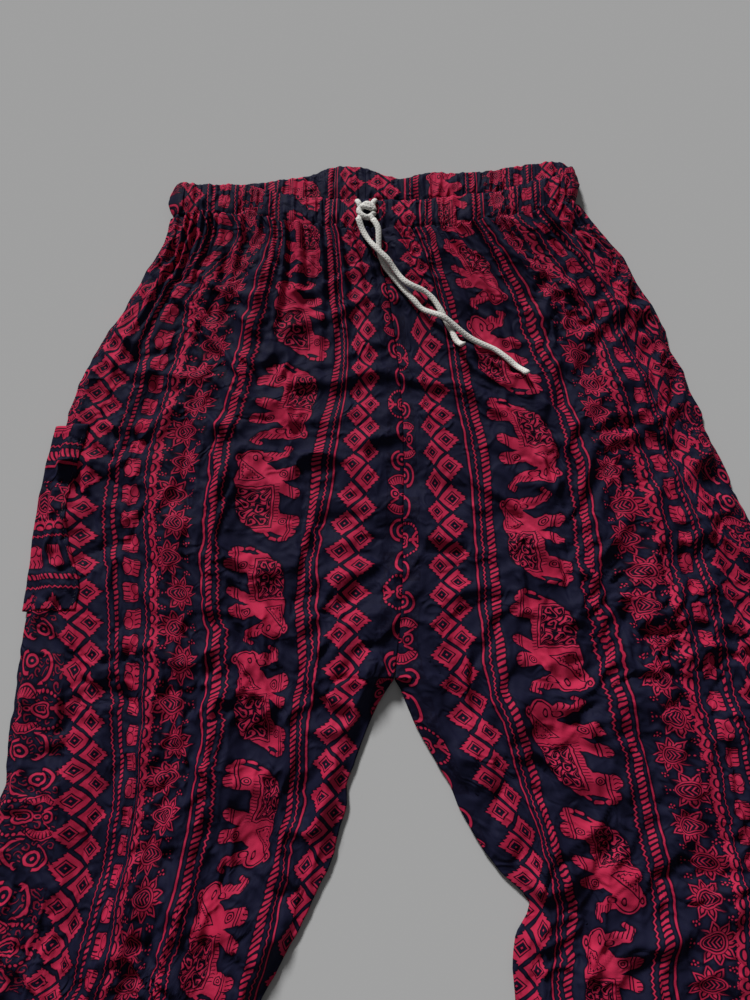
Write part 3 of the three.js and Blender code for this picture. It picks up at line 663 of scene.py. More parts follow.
def lotus(u, down):
    """Lotus flowers that point in and out by turns, with dots at their tips and sides."""
    way = abs(down.fold(REPEAT / 3)).below(REPEAT / 12) * 2.0 - 1.0
    x = way * (u - LOTUSES) * 0.86 + 2.4
    y = way * down.fold(REPEAT / 6) * 0.86
    radius = distance(x, y)
    ahead = (x / radius).most(0.0) ** 7.0
    heart = radius - (ahead * 3.0 + 5.2)
    shape = (abs(heart) - 0.42).least(abs(heart + 1.5) - 0.28)
    chevrons = abs((x + abs(y) * 0.8).fold(2.2)) - 0.38
    shape = shape.least(chevrons.most(heart + 2.4))
    turn = y.angle(x)
    aside = abs((turn + math.pi).fold(0.74)) * radius
    petal = (aside - 2.4).most((aside + radius * 0.64 - 7.5) * 0.84)
    leaf = (abs(petal + 0.35) - 0.36).least(petal + 1.6)
    shape = shape.least(leaf.most(0.75 - abs(turn)).most(6.0 - radius))
    dots = distance(x.fold(2.3), y.fold(2.3)) - 0.5
    cone = abs(y) - (x - 7.0) * 0.32
    shape = shape.least(dots.most(cone).most(9.0 - x).most(x - 15.0))
    fx, fy = x - 11.6, abs(y) - 9.9
    ring = distance(fx, fy)
    turn = fy.angle(fx)
    beads = distance(ring - 1.8, turn.fold(math.pi / 2.5) * 1.8).least(ring) - 0.5
    return shape.least(beads)


def chain(u, down):
    """A row of scallops with beads."""
    point = join_points(u - SCALLOPS, down.fold(REPEAT / 16))
    arc = abs(oval(point, (0, 0), 4.6, 4.7)) - 0.95
    x, y = point.parts()
    shape = arc.most(x - 0.2)
    shape = shape.least(oval(point, (-0.4, 0), 1.5, 2.7))
    point = join_points(x, abs(y))
    shape = shape.least(oval(point, (-4.6, 4.7), 0.65, 0.65))
    return shape.least(oval(point, (-6.0, 1.4), 0.5, 0.5))


def medallions(off, down, filled):
    """The column on the seams: a heart with a sprig, beads, combs, eyes and horns either side of it,
    and commas between them where filled is 1. It points in and out by turns."""
    way = by_turns(down, REPEAT)
    x, y = way * off + 5.0, abs(down.fold(REPEAT / 2))
    point = join_points(x, y)
    radius = point.size()
    lean = x / radius
    heart = radius - (lean.most(0.0) ** 4.0 * 3.6 - (-lean).most(0.0) ** 6.0 * 1.8 + 5.0)
    shape = (abs(heart + 0.2) - 0.75).least(abs(heart + 2.8) - 0.5)
    for x0, y0, x1, y1, thick in ((-6, 0, -14, 0, 1.0), (-9, 1.5, -12.5, 5, 1.0), (16, 4, 21, 7, 0.7)):
        shape = shape.least(stroke(point, (x0, y0), (x1, y1), thick))
    beads_x = x + 2.0
    ring = distance(beads_x, y)
    turn = y.angle(beads_x)
    beads = distance(ring - 12.0, turn.fold(0.25) * 12.0) - 0.95
    shape = shape.least(beads.most(x - 4.0))
    shape = shape.least(abs(oval(point, (11.5, 0), 1.9, 1.2)) - 0.35)
    curl_x = x - 18.5
    curl = distance(curl_x, y)
    arm = abs((curl - y.angle(curl_x) * 0.45).fold(2.8)) - 0.6
    shape = shape.least(arm.most(curl - 4.0))
    comb_x, comb_y = x - 14.0, y - 2.5
    ring = distance(comb_x, comb_y)
    teeth = abs(comb_y.angle(comb_x).fold(0.21)) * ring - 0.68
    comb = teeth.most(abs(ring - 9.6) - 1.9).least(abs(ring - 12.6) - 0.4).least(abs(ring - 7.2) - 0.35)
    shape = shape.least(comb.most(8.2 - y).most(5.0 - x))
    eye = distance(x - 11.0, y - 27.0)
    shape = shape.least(abs(eye - 4.1) - 0.85).least(eye - 1.1)
    brow = (abs(oval(point, (13, 26.5), 7.2, 7.2)) - 0.9).most(13.0 - x)
    shape = shape.least(brow)
    horn = oval(point, (0, 24), 6.0, 8.6).most(-oval(point, (2.2, 24), 6.2, 8.0))
    tip = oval(point, (1.5, 31.5), 2.6, 2.4).most(-oval(point, (2.8, 31.0), 2.0, 1.8))
    shape = shape.least(horn).least(tip)
    shape = shape.least(oval(point, (2.6, 13.5), 2.5, 2.2).most(0.9 - abs(y - 13.5)))
    wave_x, wave_y = x + (y * 0.35).sine() * 2.2, y + (x * 0.4).sine() * 2.0
    across, up = (wave_x + wave_y * 0.35).fold(7.4), (wave_y - wave_x * 0.3).fold(6.4)
    curl = distance(across, up)
    comma = abs(curl + up.angle(across) * 0.5 - 2.0) - 0.5
    filling = comma.most(curl - 3.1).most(1.3 - shape).most(y - 31.0).most(1.0 - filled)
    return shape.least(filling).most(abs(off) - 19.0)


def print_ink(u, down):
    """Distance in millimetres to the printed ink, and to the outline of the large elephants."""
    outer = u.above(OUTER)
    ink = diamonds(u - (outer * DIAMONDS_APART + DIAMONDS), down)
    ink = ink.least(edgings(u, down))
    ink = ink.least(lotus(u, down))
    ink = ink.least(chain(u, down))
    off = u - (outer * MEDALLIONS_APART + MEDALLIONS)
    ink = ink.least(medallions(off, down, outer))
    ink = ink.least(small_elephants(u, down))
    way = by_turns(down, REPEAT)
    point = join_points(way * down.fold(REPEAT / 2), way * (u - ELEPHANTS))
    outline, inked = elephant(point)
    return ink.least(inked), outline


def printed_cloth():
    cloth = Cloth("printed_cloth")
    spot = cloth.wire("ShaderNodeUVMap", {"uv_map": "cloth"})
    place_mm = cloth.vector("MULTIPLY", spot, (1000, 1000, 0))
    u, down = place_mm.parts()
    ink, outline = print_ink(u, down)
    inked = cloth.math("MULTIPLY_ADD", ink, -3.0, 0.5, clamp=True)
    # The ink's tone varies at random in broad patches, from a deeper red to a pinker red that is a painted
    # highlight laid in those patches; the same noise varies the roughness.
    blend = cloth.wire("ShaderNodeTexNoise", inputs={"Vector": place_mm, "Scale": 0.03, "Detail": 3.0})
    near = cloth.math("MULTIPLY_ADD", outline.least(ink), 0.55, 0.0, clamp=True)
    ground = cloth.colour(near, (0.0036, 0.0018, 0.0075, 1), (0.0098, 0.0102, 0.0275, 1))
    ink_colour = cloth.colour(blend, (0.37, 0.0095, 0.041, 1), (0.5, 0.03, 0.083, 1))
    cloth.look("Base Color", cloth.colour(inked, ground, ink_colour))
    cloth.look("Roughness", cloth.math("MULTIPLY_ADD", blend, 0.2, 0.5))
    cloth.look("Specular IOR Level", 0.04)
    threads = cloth.vector("MULTIPLY", spot, (2 * math.pi * 1800, 2 * math.pi * 1600, 0))
    weft, warp = threads.parts()
    weave = weft.sine() * warp.sine()
    slub = cloth.wire(
        "ShaderNodeTexNoise", inputs={"Vector": cloth.vector("MULTIPLY", spot, (300, 2600, 0)), "Detail": 1.0}
    )
    creases = cloth.wire(
        "ShaderNodeTexNoise",
        {"noise_type": "RIDGED_MULTIFRACTAL", "normalize": True},
        {"Vector": spot, "Scale": 70.0, "Detail": 2.0, "Distortion": 1.2},
    )
    rough = cloth.wire(
        "ShaderNodeBump", inputs={"Strength": 1.0, "Distance": 0.0022, "Height": creases}
    )
    bump = cloth.wire(
        "ShaderNodeBump",
        inputs={"Strength": 0.35, "Distance": 0.0002, "Height": weave * 0.4 + slub, "Normal": rough},
    )
    cloth.look("Normal", bump)
    return cloth.material


def add_object(name, data):
    made = bpy.data.objects.new(name, data)
    bpy.context.scene.collection.objects.link(made)
    return made


def mesh_object(name, points, faces, material, uv=None):
    mesh = bpy.data.meshes.new(name)
    mesh.from_pydata([tuple(p) for p in points], [], faces)
    mesh.update()
    mesh.polygons.foreach_set("use_smooth", [True] * len(mesh.polygons))
    if uv is not None:
        layer = mesh.uv_layers.new(name="cloth")
        corners = np.empty(len(mesh.loops), dtype=np.int32)
        mesh.loops.foreach_get("vertex_index", corners)
        layer.data.foreach_set("uv", np.asarray(uv, np.float32)[corners].ravel())
    mesh.materials.append(material)
    return add_object(name, mesh)


def shell(name, x, y, top, bottom, material, u, v):
    """A closed sheet over a grid of odd counts, with its print coordinates as its UV map. The
    underside has every second point of the upper face, at the lowest of its neighbours."""
    padded = np.pad(bottom, 1, mode="edge")
    rows, columns = x.shape
    near = [padded[i : i + rows, j : j + columns] for i in range(3) for j in range(3)]
    bottom = np.maximum(np.min(near, axis=0), 0)
    fine = np.arange(rows * columns).reshape(rows, columns)
    some = (slice(None, None, 2), slice(None, None, 2))
    coarse = np.arange(fine[some].size).reshape(fine[some].shape) + fine.size
    points = np.concatenate([
        np.stack([x, y, top], -1).reshape(-1, 3),
        np.stack([x[some], y[some], bottom[some]], -1).reshape(-1, 3),
    ])
    points = np.stack(place(points[:, 0], points[:, 1], points[:, 2]), -1)
    uv = np.stack([u, v], -1)
    uv = np.concatenate([uv.reshape(-1, 2), uv[some].reshape(-1, 2)])
    faces = []
    for grid, upper in ((fine, True), (coarse, False)):
        a, b = grid[:-1, :-1].ravel(), grid[1:, :-1].ravel()
        c, d = grid[1:, 1:].ravel(), grid[:-1, 1:].ravel()
        faces += np.stack([a, b, c, d] if upper else [a, d, c, b], -1).tolist()
    ring, under = [
        np.concatenate([grid[0, :-1], grid[:-1, -1], grid[-1, :0:-1], grid[:0:-1, 0]])
        for grid in (fine, coarse)
    ]
    for k in range(len(under)):
        first, middle, last = ring[2 * k], ring[2 * k + 1], ring[(2 * k + 2) % len(ring)]
        here, following = under[k], under[(k + 1) % len(under)]
        faces += [[first, middle, here], [middle, last, following], [middle, following, here]]
    if (x[0, 1] - x[0, 0]) * (y[1, 0] - y[0, 0]) > 0:
        faces = [face[::-1] for face in faces]
    return mesh_object(name, points, faces, material, uv)


def spread(breaks, count):
    """An odd number of evenly spaced values between the breaks, which are kept."""
    total = breaks[-1] - breaks[0]
    pieces = [
        np.linspace(low, high, max(2, 2 * round(count * (high - low) / total / 2)), endpoint=False)
        for low, high in zip(breaks, breaks[1:])
    ]
    return np.concatenate([*pieces, [breaks[-1]]])


def taken_up(x, y, z, axis):
    """Cloth that the folds take up on the way along one axis of a grid, less its trend."""
    steps = [np.diff(values, axis=axis) for values in (x + 0 * z, y + 0 * z, z)]
    flat = np.hypot(steps[0], steps[1])
    excess = np.hypot(flat, steps[2]) - flat
    pad = [(1, 0), (0, 0)] if axis == 0 else [(0, 0), (1, 0)]
    total = np.cumsum(np.pad(excess, pad), axis=axis)
    reach = 28
    widths = [(reach, reach), (0, 0)] if axis == 0 else [(0, 0), (reach, reach)]
    padded = np.pad(total, widths, mode="reflect", reflect_type="odd")
    sums = np.cumsum(np.pad(padded, pad), axis=axis)
    size = 2 * reach + 1
    if axis == 0:
        return total - (sums[size:] - sums[:-size]) / size
    return total - (sums[:, size:] - sums[:, :-size]) / size


def panel(name, leg, columns, rows, is_front, material):
    a = np.linspace(0, 1, columns)[None, :]
    row = spread([0, CROTCH_ROW, 13, HEM_ROW - 0.03, HEM_ROW, LAST_ROW], rows)[:, None]
    foot, gap = ("foot", FRONT_FOOT_GAP) if is_front else ("back_foot", BACK_FOOT_GAP)
    x, y, width = leg.plan(a, row, foot, gap)
    wobble = value_noise(y / 17 + 20, 0 * y + leg.side + 3, 41) + 0.4 * value_noise(y / 6 + 20, 0 * y + 3, 42)
    free = np.where(row > CROTCH_ROW, (1 - a) ** 3, 0)
    x = x - leg.side * (SEAM_GAP / 2) * (1 - a)
    x = x + leg.side * 3.6 * (wobble - 0.7) * smoothstep(row, 0, 0.6) * (a**3 - free)
    a = a + 0 * row
    if is_front:
        top = front_height(leg, a, x, y, width)
        top = top + HEM_RISE * (row >= HEM_ROW)
        bottom = top - DRAWN
    else:
        bottom = leg.back_underside(a, y, width)
        top = bottom + DRAWN
    u = leg.print_place(x, y) + PRINT_SHIFT * taken_up(x, y, top, 1)
    down = leg.cloth_down(row) + 0 * a + PRINT_SHIFT * leg.side * taken_up(x, y, top, 0)
    return shell(name, x, y, top, bottom, material, u / 1000, down / 1000)


printed = printed_cloth()
for leg, word in ((RIGHT, "right"), (LEFT, "left")):
    front = panel("printed_front_" + word, leg, 191, 376, True, printed)
    back = panel("printed_back_" + word, leg, 61, 120, False, printed)
    for made, node in ((front, "front_" + word), (back, "back_" + word)):
        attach(made, "root")
        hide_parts(node)


def tube_body(name, loops, material, uv, breaks=()):
    """A surface round a row of closed loops of points, closed at its ends. It is parted after the
    loops in breaks."""
    loops, uv = np.asarray(loops, float), np.asarray(uv, float)
    count, around = loops.shape[:2]
    index = np.arange(count * around).reshape(count, around)
    kept = np.array([i for i in range(count - 1) if i not in breaks])
    a, b = index[kept], index[kept + 1]
    faces = np.stack([a, np.roll(a, -1, 1), np.roll(b, -1, 1), b], -1).reshape(-1, 4).tolist()
    ends = [0, count - 1, *breaks, *(i + 1 for i in breaks)]
    loops = np.concatenate([loops.reshape(-1, 3), loops[ends].mean(1)])
    uv = np.concatenate([uv.reshape(-1, 2), uv[ends, 0]])
    for k, row in enumerate(ends):
        ring = index[row]
        faces += [[count * around + k, here, following] for here, following in zip(ring, np.roll(ring, -1))]
    points = np.stack(place(loops[:, 0], loops[:, 1], loops[:, 2]), -1)
    made = mesh_object(name, points, faces, material, uv)
    face_outwards(made)
    return made


def face_outwards(made):
    work = bmesh.new()
    work.from_mesh(made.data)
    bmesh.ops.recalc_face_normals(work, faces=work.faces)
    work.to_mesh(made.data)
    work.free()


def level_point(leg, x, y):
    """Share across a leg, and its width, at places given by x and y."""
    inner_x, outer_x = leg.edge_at("inner", y), leg.edge_at("outer", y)
    return np.clip((x - inner_x) / (outer_x - inner_x), 0, 1), np.abs(outer_x - inner_x)


def cloth_height(x, y):
    """Height of the front panels' upper face at a place."""
    a, width = level_point(RIGHT, x, y)
    right = front_height(RIGHT, a, x, y, width)
    a, width = level_point(LEFT, x, y)
    left = front_height(LEFT, a, x, y, width)
    return np.where(x > LEFT.edge_at("inner", y), left, right)


BAND_LEFT, BAND_RIGHT = -BAND_HALF + CASING / 2, BAND_HALF - CASING / 2
BAND_TURN = (CASING + MOUTH_GAP) / 2
BAND_MIDDLE = CASING + MOUTH_GAP / 2
FRONT_CENTRE, BACK_CENTRE = -5.0, -8.0
BAND_SHOWN, BAND_HIDDEN = 17, 7  # points up the shown face of the casing, and down the other
BAND_RIGHT_STEPS, BAND_LEFT_STEPS = 200, 220  # along it, right and left of the centre seam
# Where the print lies inside the back of the casing: distance out from the centre back, and what
# column of the print is there
BACK_PRINT_LEFT = ((0, 15, 44, 69, 90, 107, 155, 175), (22, 39, 75, 105, 138, 168, 250, 288))
BACK_PRINT_RIGHT = (
    (0, 15, 28, 48, 81, 110, 137, 158, 158.5, 175),
    (22, 40, 72, 103, 139, 175, 234, 268, 79, 82),
)


def ruching(s, t, seed):
    """Fine uneven gathers of the elastic casing, above and below its middle face: s along it in
    millimetres, t across it from 0 to 1."""
    bend = 5 * value_noise(s / 34 + 40, t * 1.3 + 5, seed)
    total = 0
    for pitch, length, height, key in ((8.5, 0.9, 1.8, 1), (4.6, 1.4, 2.4, 2), (2.6, 1.1, 1.2, 3)):
        n = value_noise((s + bend) / pitch + 50, t * length + 7, seed + key)
        total = total + height * (1 - np.abs(2 * n - 1)) ** 1.4
    pinch = np.minimum(smoothstep(t, 0.02, 0.2), 1 - 0.7 * smoothstep(t, 0.86, 0.97))
    return (total - 1.9) * (0.25 + 0.75 * pinch)


def band_edges(is_front, x):
    """The casing's lower and upper edges."""
    names = ("foot", "rim") if is_front else ("back_foot", "back_rim")
    return [waist(name, x) for name in names]


def band_half(t):
    """Half the casing's thickness."""
    return 0.2 + 1.3 * np.sqrt(np.clip(np.sin(math.pi * np.clip(t, 0.03, 0.97)), 0, 1))


def band_relief(is_front, s, t):
    """How far the casing's upper face stands out from its middle."""
    groove = np.exp(-((t - 0.09) / 0.022) ** 2) + np.exp(-((t - 0.9) / 0.022) ** 2)
    return band_half(t) + ruching(s, t, 31 if is_front else 57) - 0.35 * groove


def band_face(is_front, x, t):
    """Height of the casing's upper face along a line at t across it."""
    up = 1 if is_front else -1
    s = BAND_TURN * math.pi / 2 + x - (BAND_LEFT + BAND_TURN)
    out = band_relief(is_front, s, np.full(x.shape, t)) + 0.12
    return BAND_MIDDLE + up * (BAND_TURN + SEAM_GAP / 2) + out


def waistband(is_front, material):
    up = 1 if is_front else -1
    seam = FRONT_CENTRE if is_front else BACK_CENTRE
    quarter = np.linspace(0, math.pi / 2, 9)[:-1]
    flat = np.concatenate([
        np.linspace(BAND_LEFT + BAND_TURN, seam, BAND_RIGHT_STEPS),
        np.linspace(seam, BAND_RIGHT - BAND_TURN, BAND_LEFT_STEPS),
    ])
    turn = np.concatenate([quarter, np.full(len(flat), math.pi / 2), quarter[::-1]])
    side = np.concatenate([-np.ones(len(quarter)), 0 * flat, np.ones(len(quarter))])
    centre = np.concatenate([
        np.full(len(quarter), BAND_LEFT + BAND_TURN), flat, np.full(len(quarter), BAND_RIGHT - BAND_TURN)
    ])
    nx, nz = side * np.cos(turn), up * np.sin(turn)
    line_x = centre + nx * BAND_TURN
    line_z = BAND_MIDDLE + nz * BAND_TURN + up * SEAM_GAP / 2
    s = np.concatenate([[0], np.cumsum(np.hypot(np.diff(line_x), np.diff(line_z)))])
    foot, rim = band_edges(is_front, line_x)
    to_end = np.minimum(line_x - BAND_LEFT, BAND_RIGHT - line_x)
    rim = rim - 4.5 * (1 - np.sqrt(1 - np.clip(1 - to_end / 8, 0, 1) ** 2))
    t = np.concatenate([np.linspace(0, 1, BAND_SHOWN), np.linspace(1, 0, BAND_HIDDEN)])[None, :]
    shown_face = np.arange(BAND_SHOWN + BAND_HIDDEN)[None, :] < BAND_SHOWN
    face = up * np.where(shown_face, 1.0, -1.0)
    out = face * np.where(shown_face, band_relief(is_front, s[:, None], t + 0 * s[:, None]), band_half(t))
    wave = 1.3 * value_noise(s / 3.4 + 3, s * 0 + 2, 8) + 0.9 * value_noise(s / 8 + 3, s * 0 + 5, 8) - 1.3
    y = foot[:, None] + (rim - foot)[:, None] * t + wave[:, None] * smoothstep(t, 0.8, 1)
    tuck = 1.6 * side[:, None] * np.cos(turn)[:, None] * (1 - smoothstep(t, 0, 0.4))
    band_x = line_x[:, None] + nx[:, None] * out - tuck
    loops = np.stack([band_x, y, line_z[:, None] + nz[:, None] * out], -1)
    loops[..., 2] = np.maximum(loops[..., 2], 0.1)
    ramp = smoothstep(to_end, 22, 2) * np.sign(line_x)
    loops[..., 0] -= 0.34 * ramp[:, None] * (loops[..., 2] - BAND_MIDDLE + BAND_TURN)
    is_left = np.arange(len(s)) >= len(quarter) + BAND_RIGHT_STEPS
    rise = (y - foot[:, None]) * 1.1
    if is_front:
        near = foot[:, None] + 0 * t - 3
        left, right = [leg.print_place(line_x[:, None], near) for leg in (LEFT, RIGHT)]
        u = np.where(is_left[:, None], left, right)
        down = np.where(is_left[:, None], LEFT.cloth_down(0.0), RIGHT.cloth_down(0.0))
        down = down - np.where(is_left[:, None], 1, -1) * (rise + np.where(shown_face, 0, 4))
    else:
        outwards = np.abs(line_x - BACK_CENTRE)
        u = np.where(is_left, np.interp(outwards, *BACK_PRINT_LEFT), np.interp(outwards, *BACK_PRINT_RIGHT))
        u = u[:, None] + 0 * t
        down = np.where(is_left[:, None], -1, 1) * rise
    gathered = 2.6 * (value_noise(s[:, None] / 4.2 + 30, 1.6 * t + 9, 77) - 0.5)
    uv = np.stack([u + gathered, down + 0 * t], -1) / 1000
    word = "front" if is_front else "back"
    made = tube_body("printed_waistband_" + word, loops, material, uv, (len(quarter) + BAND_RIGHT_STEPS - 1,))
    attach(made, "root")
    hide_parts("waistband_" + word)
    return made


# How far out the patch pocket reaches: y, its edge on the front, and how far it stands past the side
POCKET = (
    (223, -218, 6), (208, -221, 5.5), (190, -223, 5), (165, -228, 5),
    (140, -225, 5), (118, -219, 4.5), (98, -212, 4), (81, -212, 3.5),
)
POCKET_TOP, POCKET_FOOT = POCKET[0][0], POCKET[-1][0]
POCKET_BACK = 62.0  # it reaches this far under the back
# Filled in by pocket(), for its stitches: where its edge runs, and its heights from there outwards
pocket_edge, pocket_tops = [], []


def pocket_top(x, y):
    """Height of the pocket's upper face at some of its places."""
    heights = [np.interp(-at, -over, top) for at, (over, top) in zip(
        x, [pocket_tops[int(np.argmin(np.abs(pocket_edge[:, 0] - level)))] for level in y])]
    return np.array(heights)


def pocket(material):
    table = np.array(POCKET[::-1], float)
    loops, uv = [], []
    for y in np.linspace(POCKET_TOP, POCKET_FOOT, 110):
        index = np.interp(y, table[:, 0], np.arange(len(table)))
        front_x, bulge = smooth_read(table[:, 1], index), smooth_read(table[:, 2], index)
        front_x = front_x + 2.4 * (value_noise(np.array([y / 11.0 + 30]), np.array([5.5]), 14)[0] - 0.5)
        outer = float(RIGHT.edge_at("outer", y))
        edge = min(smoothstep(POCKET_TOP - y, 0, 2.2), smoothstep(y - POCKET_FOOT, 0, 2.2))
        swell = 1.6 * edge * (1 - smoothstep(POCKET_TOP - y, 0, 60))
        over = np.linspace(front_x, outer + 2, 26)
        span = (over - front_x) / (outer + 2 - front_x)
        puff = swell * np.sin(math.pi * span) + 0.5 * np.sin(y / 4.7 + over / 9) * span * edge
        top = cloth_height(over, np.full(26, y)) + 0.5 + np.maximum(puff, 0)
        top = np.maximum(top, top[-1] * span)
        pocket_edge.append((y, front_x))
        pocket_tops.append((over, top + 0.4))
        angles = np.radians(np.linspace(70, -70, 12))
        half = (top[-1] - 0.5) / 2
        wave = 0.7 * (value_noise(np.array([y / 7.0 + 3]), np.array([1.5]), 12)[0] - 0.5)
        round_x = outer - CLOTH - (bulge + wave) * np.cos(angles)
        middle_x = np.concatenate([over, round_x, np.linspace(outer + 2, outer + POCKET_BACK, 12)])
        middle_z = np.concatenate([top, 0.5 + half + half * np.sin(angles), np.full(12, 0.5)])
        dx, dz = np.gradient(middle_x), np.gradient(middle_z)
        size = np.maximum(np.hypot(dx, dz), 1e-6)
        thick = 0.28 + 0.25 * (1 - smoothstep(POCKET_TOP - y, 11, 12.5))
        off_x, off_z = dz / size * thick, -dx / size * thick
        x = np.concatenate([middle_x + off_x, (middle_x - off_x)[::-1]])
        z = np.maximum(np.concatenate([middle_z + off_z, (middle_z - off_z)[::-1]]), 0.08)
        loops.append(np.stack([x, np.full(len(x), y), z], -1))
        run = np.concatenate([[0], np.cumsum(np.hypot(np.diff(middle_x), np.diff(middle_z)))])
        run = np.concatenate([run, run[::-1]])
        uv.append(np.stack([140 + (196.6 - y) * 0.89 + 0 * run, run + 4], -1) / 1000)
    made = tube_body("printed_pocket_right", loops, material, uv)
    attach(made, "root")
    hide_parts("pocket_right")
    return made


# The drawstring's free ends from the knot down, with the height at which each rides over the other
SHORT_END = (
    (-13.6, 398.6, 0), (-10, 388, 0), (-4, 377, 3.2), (3, 368, 5), (10.5, 360, 5),
    (17, 351, 5), (23, 343, 5), (29.5, 338.5, 4.4), (39, 335, 1.6), (46, 329, 0),
    (51, 321, 0), (56, 311, 0), (60.5, 301, 0), (64, 292, 0), (69, 286, 0),
)
LONG_END = (
    (-1.4, 398.6, 0), (2.5, 390, 0), (3, 380, 0), (3.5, 370, 0), (7.5, 359, 0),
    (14, 349.5, 0), (20, 341.5, 0), (25, 335, 0), (31, 327.5, 0), (37, 320.5, 0),
    (45, 315.5, 3), (53, 311.5, 5), (60, 306.5, 5), (67, 301, 3), (75, 295.5, 0),
    (84, 291, 0), (94, 286.5, 0), (103, 279, 0), (111, 271, 0), (118, 262.5, 0),
)


def run_along(line):
    """Length along a line up to each of its points."""
    return np.concatenate([[0], np.cumsum(np.linalg.norm(np.diff(line, axis=0), axis=1))])


def resample(points, step):
    """Points at even steps along a smooth curve through the given ones."""
    points = np.asarray(points, float)
    at = np.linspace(0, len(points) - 1, 40 * len(points))
    curve = np.stack([smooth_read(points[:, k], at) for k in range(3)], -1)
    run = run_along(curve)
    want = np.linspace(0, run[-1], max(2, round(run[-1] / step) + 1))
    return np.stack([np.interp(want, run, curve[:, k]) for k in range(3)], -1)


def seated(points):
    """The cord's middle line where it lies on the cloth."""
    line = resample(points, 2.0)
    x, y, over = line.T
    height = 0 * x
    for dx, dy in ((0, 0), (1.8, 0), (-1.8, 0), (0, 1.8), (0, -1.8)):
        height = np.maximum(height, cloth_height(x + dx, y + dy))
        on_band = y + dy > waist("foot", x + dx) - 1
        height = np.where(on_band, np.maximum(height, 2 * CASING + MOUTH_GAP + 1), height)
    spread_out = np.maximum(height, np.maximum(np.roll(height, 1), np.roll(height, -1)))
    window = np.hanning(11)
    smooth = np.convolve(np.pad(spread_out, 4, mode="edge"), window[1:-1] / window.sum(), "valid")
    return np.stack([x, y, np.maximum(smooth, spread_out - 0.4) + CORD / 2 - 0.3 + over * 0.86], -1)


def cord_tube(name, line, material, radius=0.52 * CORD, flare=0.0, sides=20, flat=0.66):
    """A soft cord along a line, a little flattened, with a rounded cut end."""
    ahead = np.gradient(line, axis=0)
    ahead /= np.linalg.norm(ahead, axis=1)[:, None]
    side = np.cross(ahead, (0, 0, 1.0))
    side /= np.linalg.norm(side, axis=1)[:, None]
    upward = np.cross(side, ahead)
    run = run_along(line)
    left = run[-1] - run
    girth = radius * (1 + 0.05 * np.sin(run / 5.3) + 0.03 * np.sin(run / 2.1))
    girth = girth * (1 + flare * np.exp(-((left - 2) / 3.5) ** 2)) * np.sqrt(np.clip(left / 1.2, 0.3, 1))
    angles = np.linspace(0, 2 * math.pi, sides, endpoint=False) - math.pi / 2
    across = girth[:, None] * np.cos(angles)
    height = girth[:, None] * flat * np.sin(angles)
    loops = line[:, None] + across[..., None] * side[:, None] + height[..., None] * upward[:, None]
    round_share = (angles[None, :] + math.pi / 2) / (2 * math.pi)
    uv = np.stack([round_share + 0 * across, run[:, None] / 1000 + 0 * across], -1)
    return tube_body(name, loops, material, uv)


def knot(material):
    """An overhand knot, drawn tight, in the doubled cord: a round turn with the cord across it, and
    two lengths above it that go into the casing's eyelets."""
    t = np.linspace(0, 2 * math.pi, 81)
    cx, cy = KNOT[0], KNOT[1] - 3.0
    x = 5.5 * np.cos(t) * (1 - 0.12 * np.sin(t)) + 0.5 * np.cos(3 * t)
    line = np.stack([cx + x, cy + 6.4 * np.sin(t), 16.6 + 0.7 * np.sin(2 * t)], -1)
    pieces = [cord_tube("knot_turn", line[:-1], material, 2.6, sides=16, flat=0.9)]
    short, long = [(end[0][0] - cx, end[0][1] - 1 - cy) for end in (SHORT_END, LONG_END)]
    # Places from the turn's middle and the half breadth: the cord across it, the two lengths up to the
    # eyelets, and the starts of the free ends
    for rows, radius in (
        (((-6.5, 3.4, 16.2), (-2.5, 3.0, 18.4), (2.5, 1.4, 18.4), (6.3, 1.2, 16.2)), 1.9),
        (((-5.4, 3.5, 16.6), (-6.2, 7.0, 16.8), (-7.6, 10.5, 15.0), (-8.2, 12.0, 12.8)), 2.1),
        (((4.8, 4.0, 16.6), (5.4, 7.5, 16.8), (6.8, 11.0, 15.0), (7.4, 12.5, 12.8)), 2.1),
        (((-4.4, -3.2, 16.6), (-5.6, -6.5, 16.8), (*short, 16.4)), 2.1),
        (((3.0, -4.0, 16.6), (4.4, -6.8, 16.8), (*long, 16.2)), 2.1),
    ):
        line = resample([(cx + dx, cy + dy, z) for dx, dy, z in rows], 1.0)
        pieces.append(cord_tube("knot_length", line, material, radius, sides=16, flat=0.8))
    return join(pieces, "cotton_knot")


def join(pieces, name):
    """One object from several."""
    work = bmesh.new()
    for piece in pieces:
        work.from_mesh(piece.data)
    mesh = pieces[0].data
    work.to_mesh(mesh)
    work.free()
    for piece in pieces[1:]:
        bpy.data.objects.remove(piece)
    pieces[0].name = name
    return pieces[0]


def cotton():
    """Braided cotton: two sets of strands that cross round the cord."""
    cloth = Cloth("cord_cotton")
    spot = cloth.vector("MULTIPLY", cloth.wire("ShaderNodeUVMap", {"uv_map": "cloth"}), (1, 1000, 0))
    around, along = spot.parts()
    turn = around * (8 * math.pi)
    left, right = (turn + along * 2.4).sine(), (turn - along * 2.4).sine()
    strands = left.most(right)
    fibres = cloth.wire("ShaderNodeTexNoise", inputs={"Vector": spot, "Scale": 3.0, "Detail": 3.0})
    shade = cloth.math("MULTIPLY_ADD", strands, 0.3, fibres * 0.5 + 0.35, clamp=True)
    shade = cloth.colour(shade, (0.42, 0.4, 0.37, 1), (0.79, 0.78, 0.74, 1))
    cloth.look("Base Color", shade)
    cloth.look("Roughness", fibres * 0.2 + 0.75)
    cloth.look("Specular IOR Level", 0.25)
    bump = cloth.wire(
        "ShaderNodeBump", inputs={"Strength": 0.5, "Distance": 0.0003, "Height": strands * 0.7 + fibres * 0.6}
    )
    cloth.look("Normal", bump)
    return cloth.material


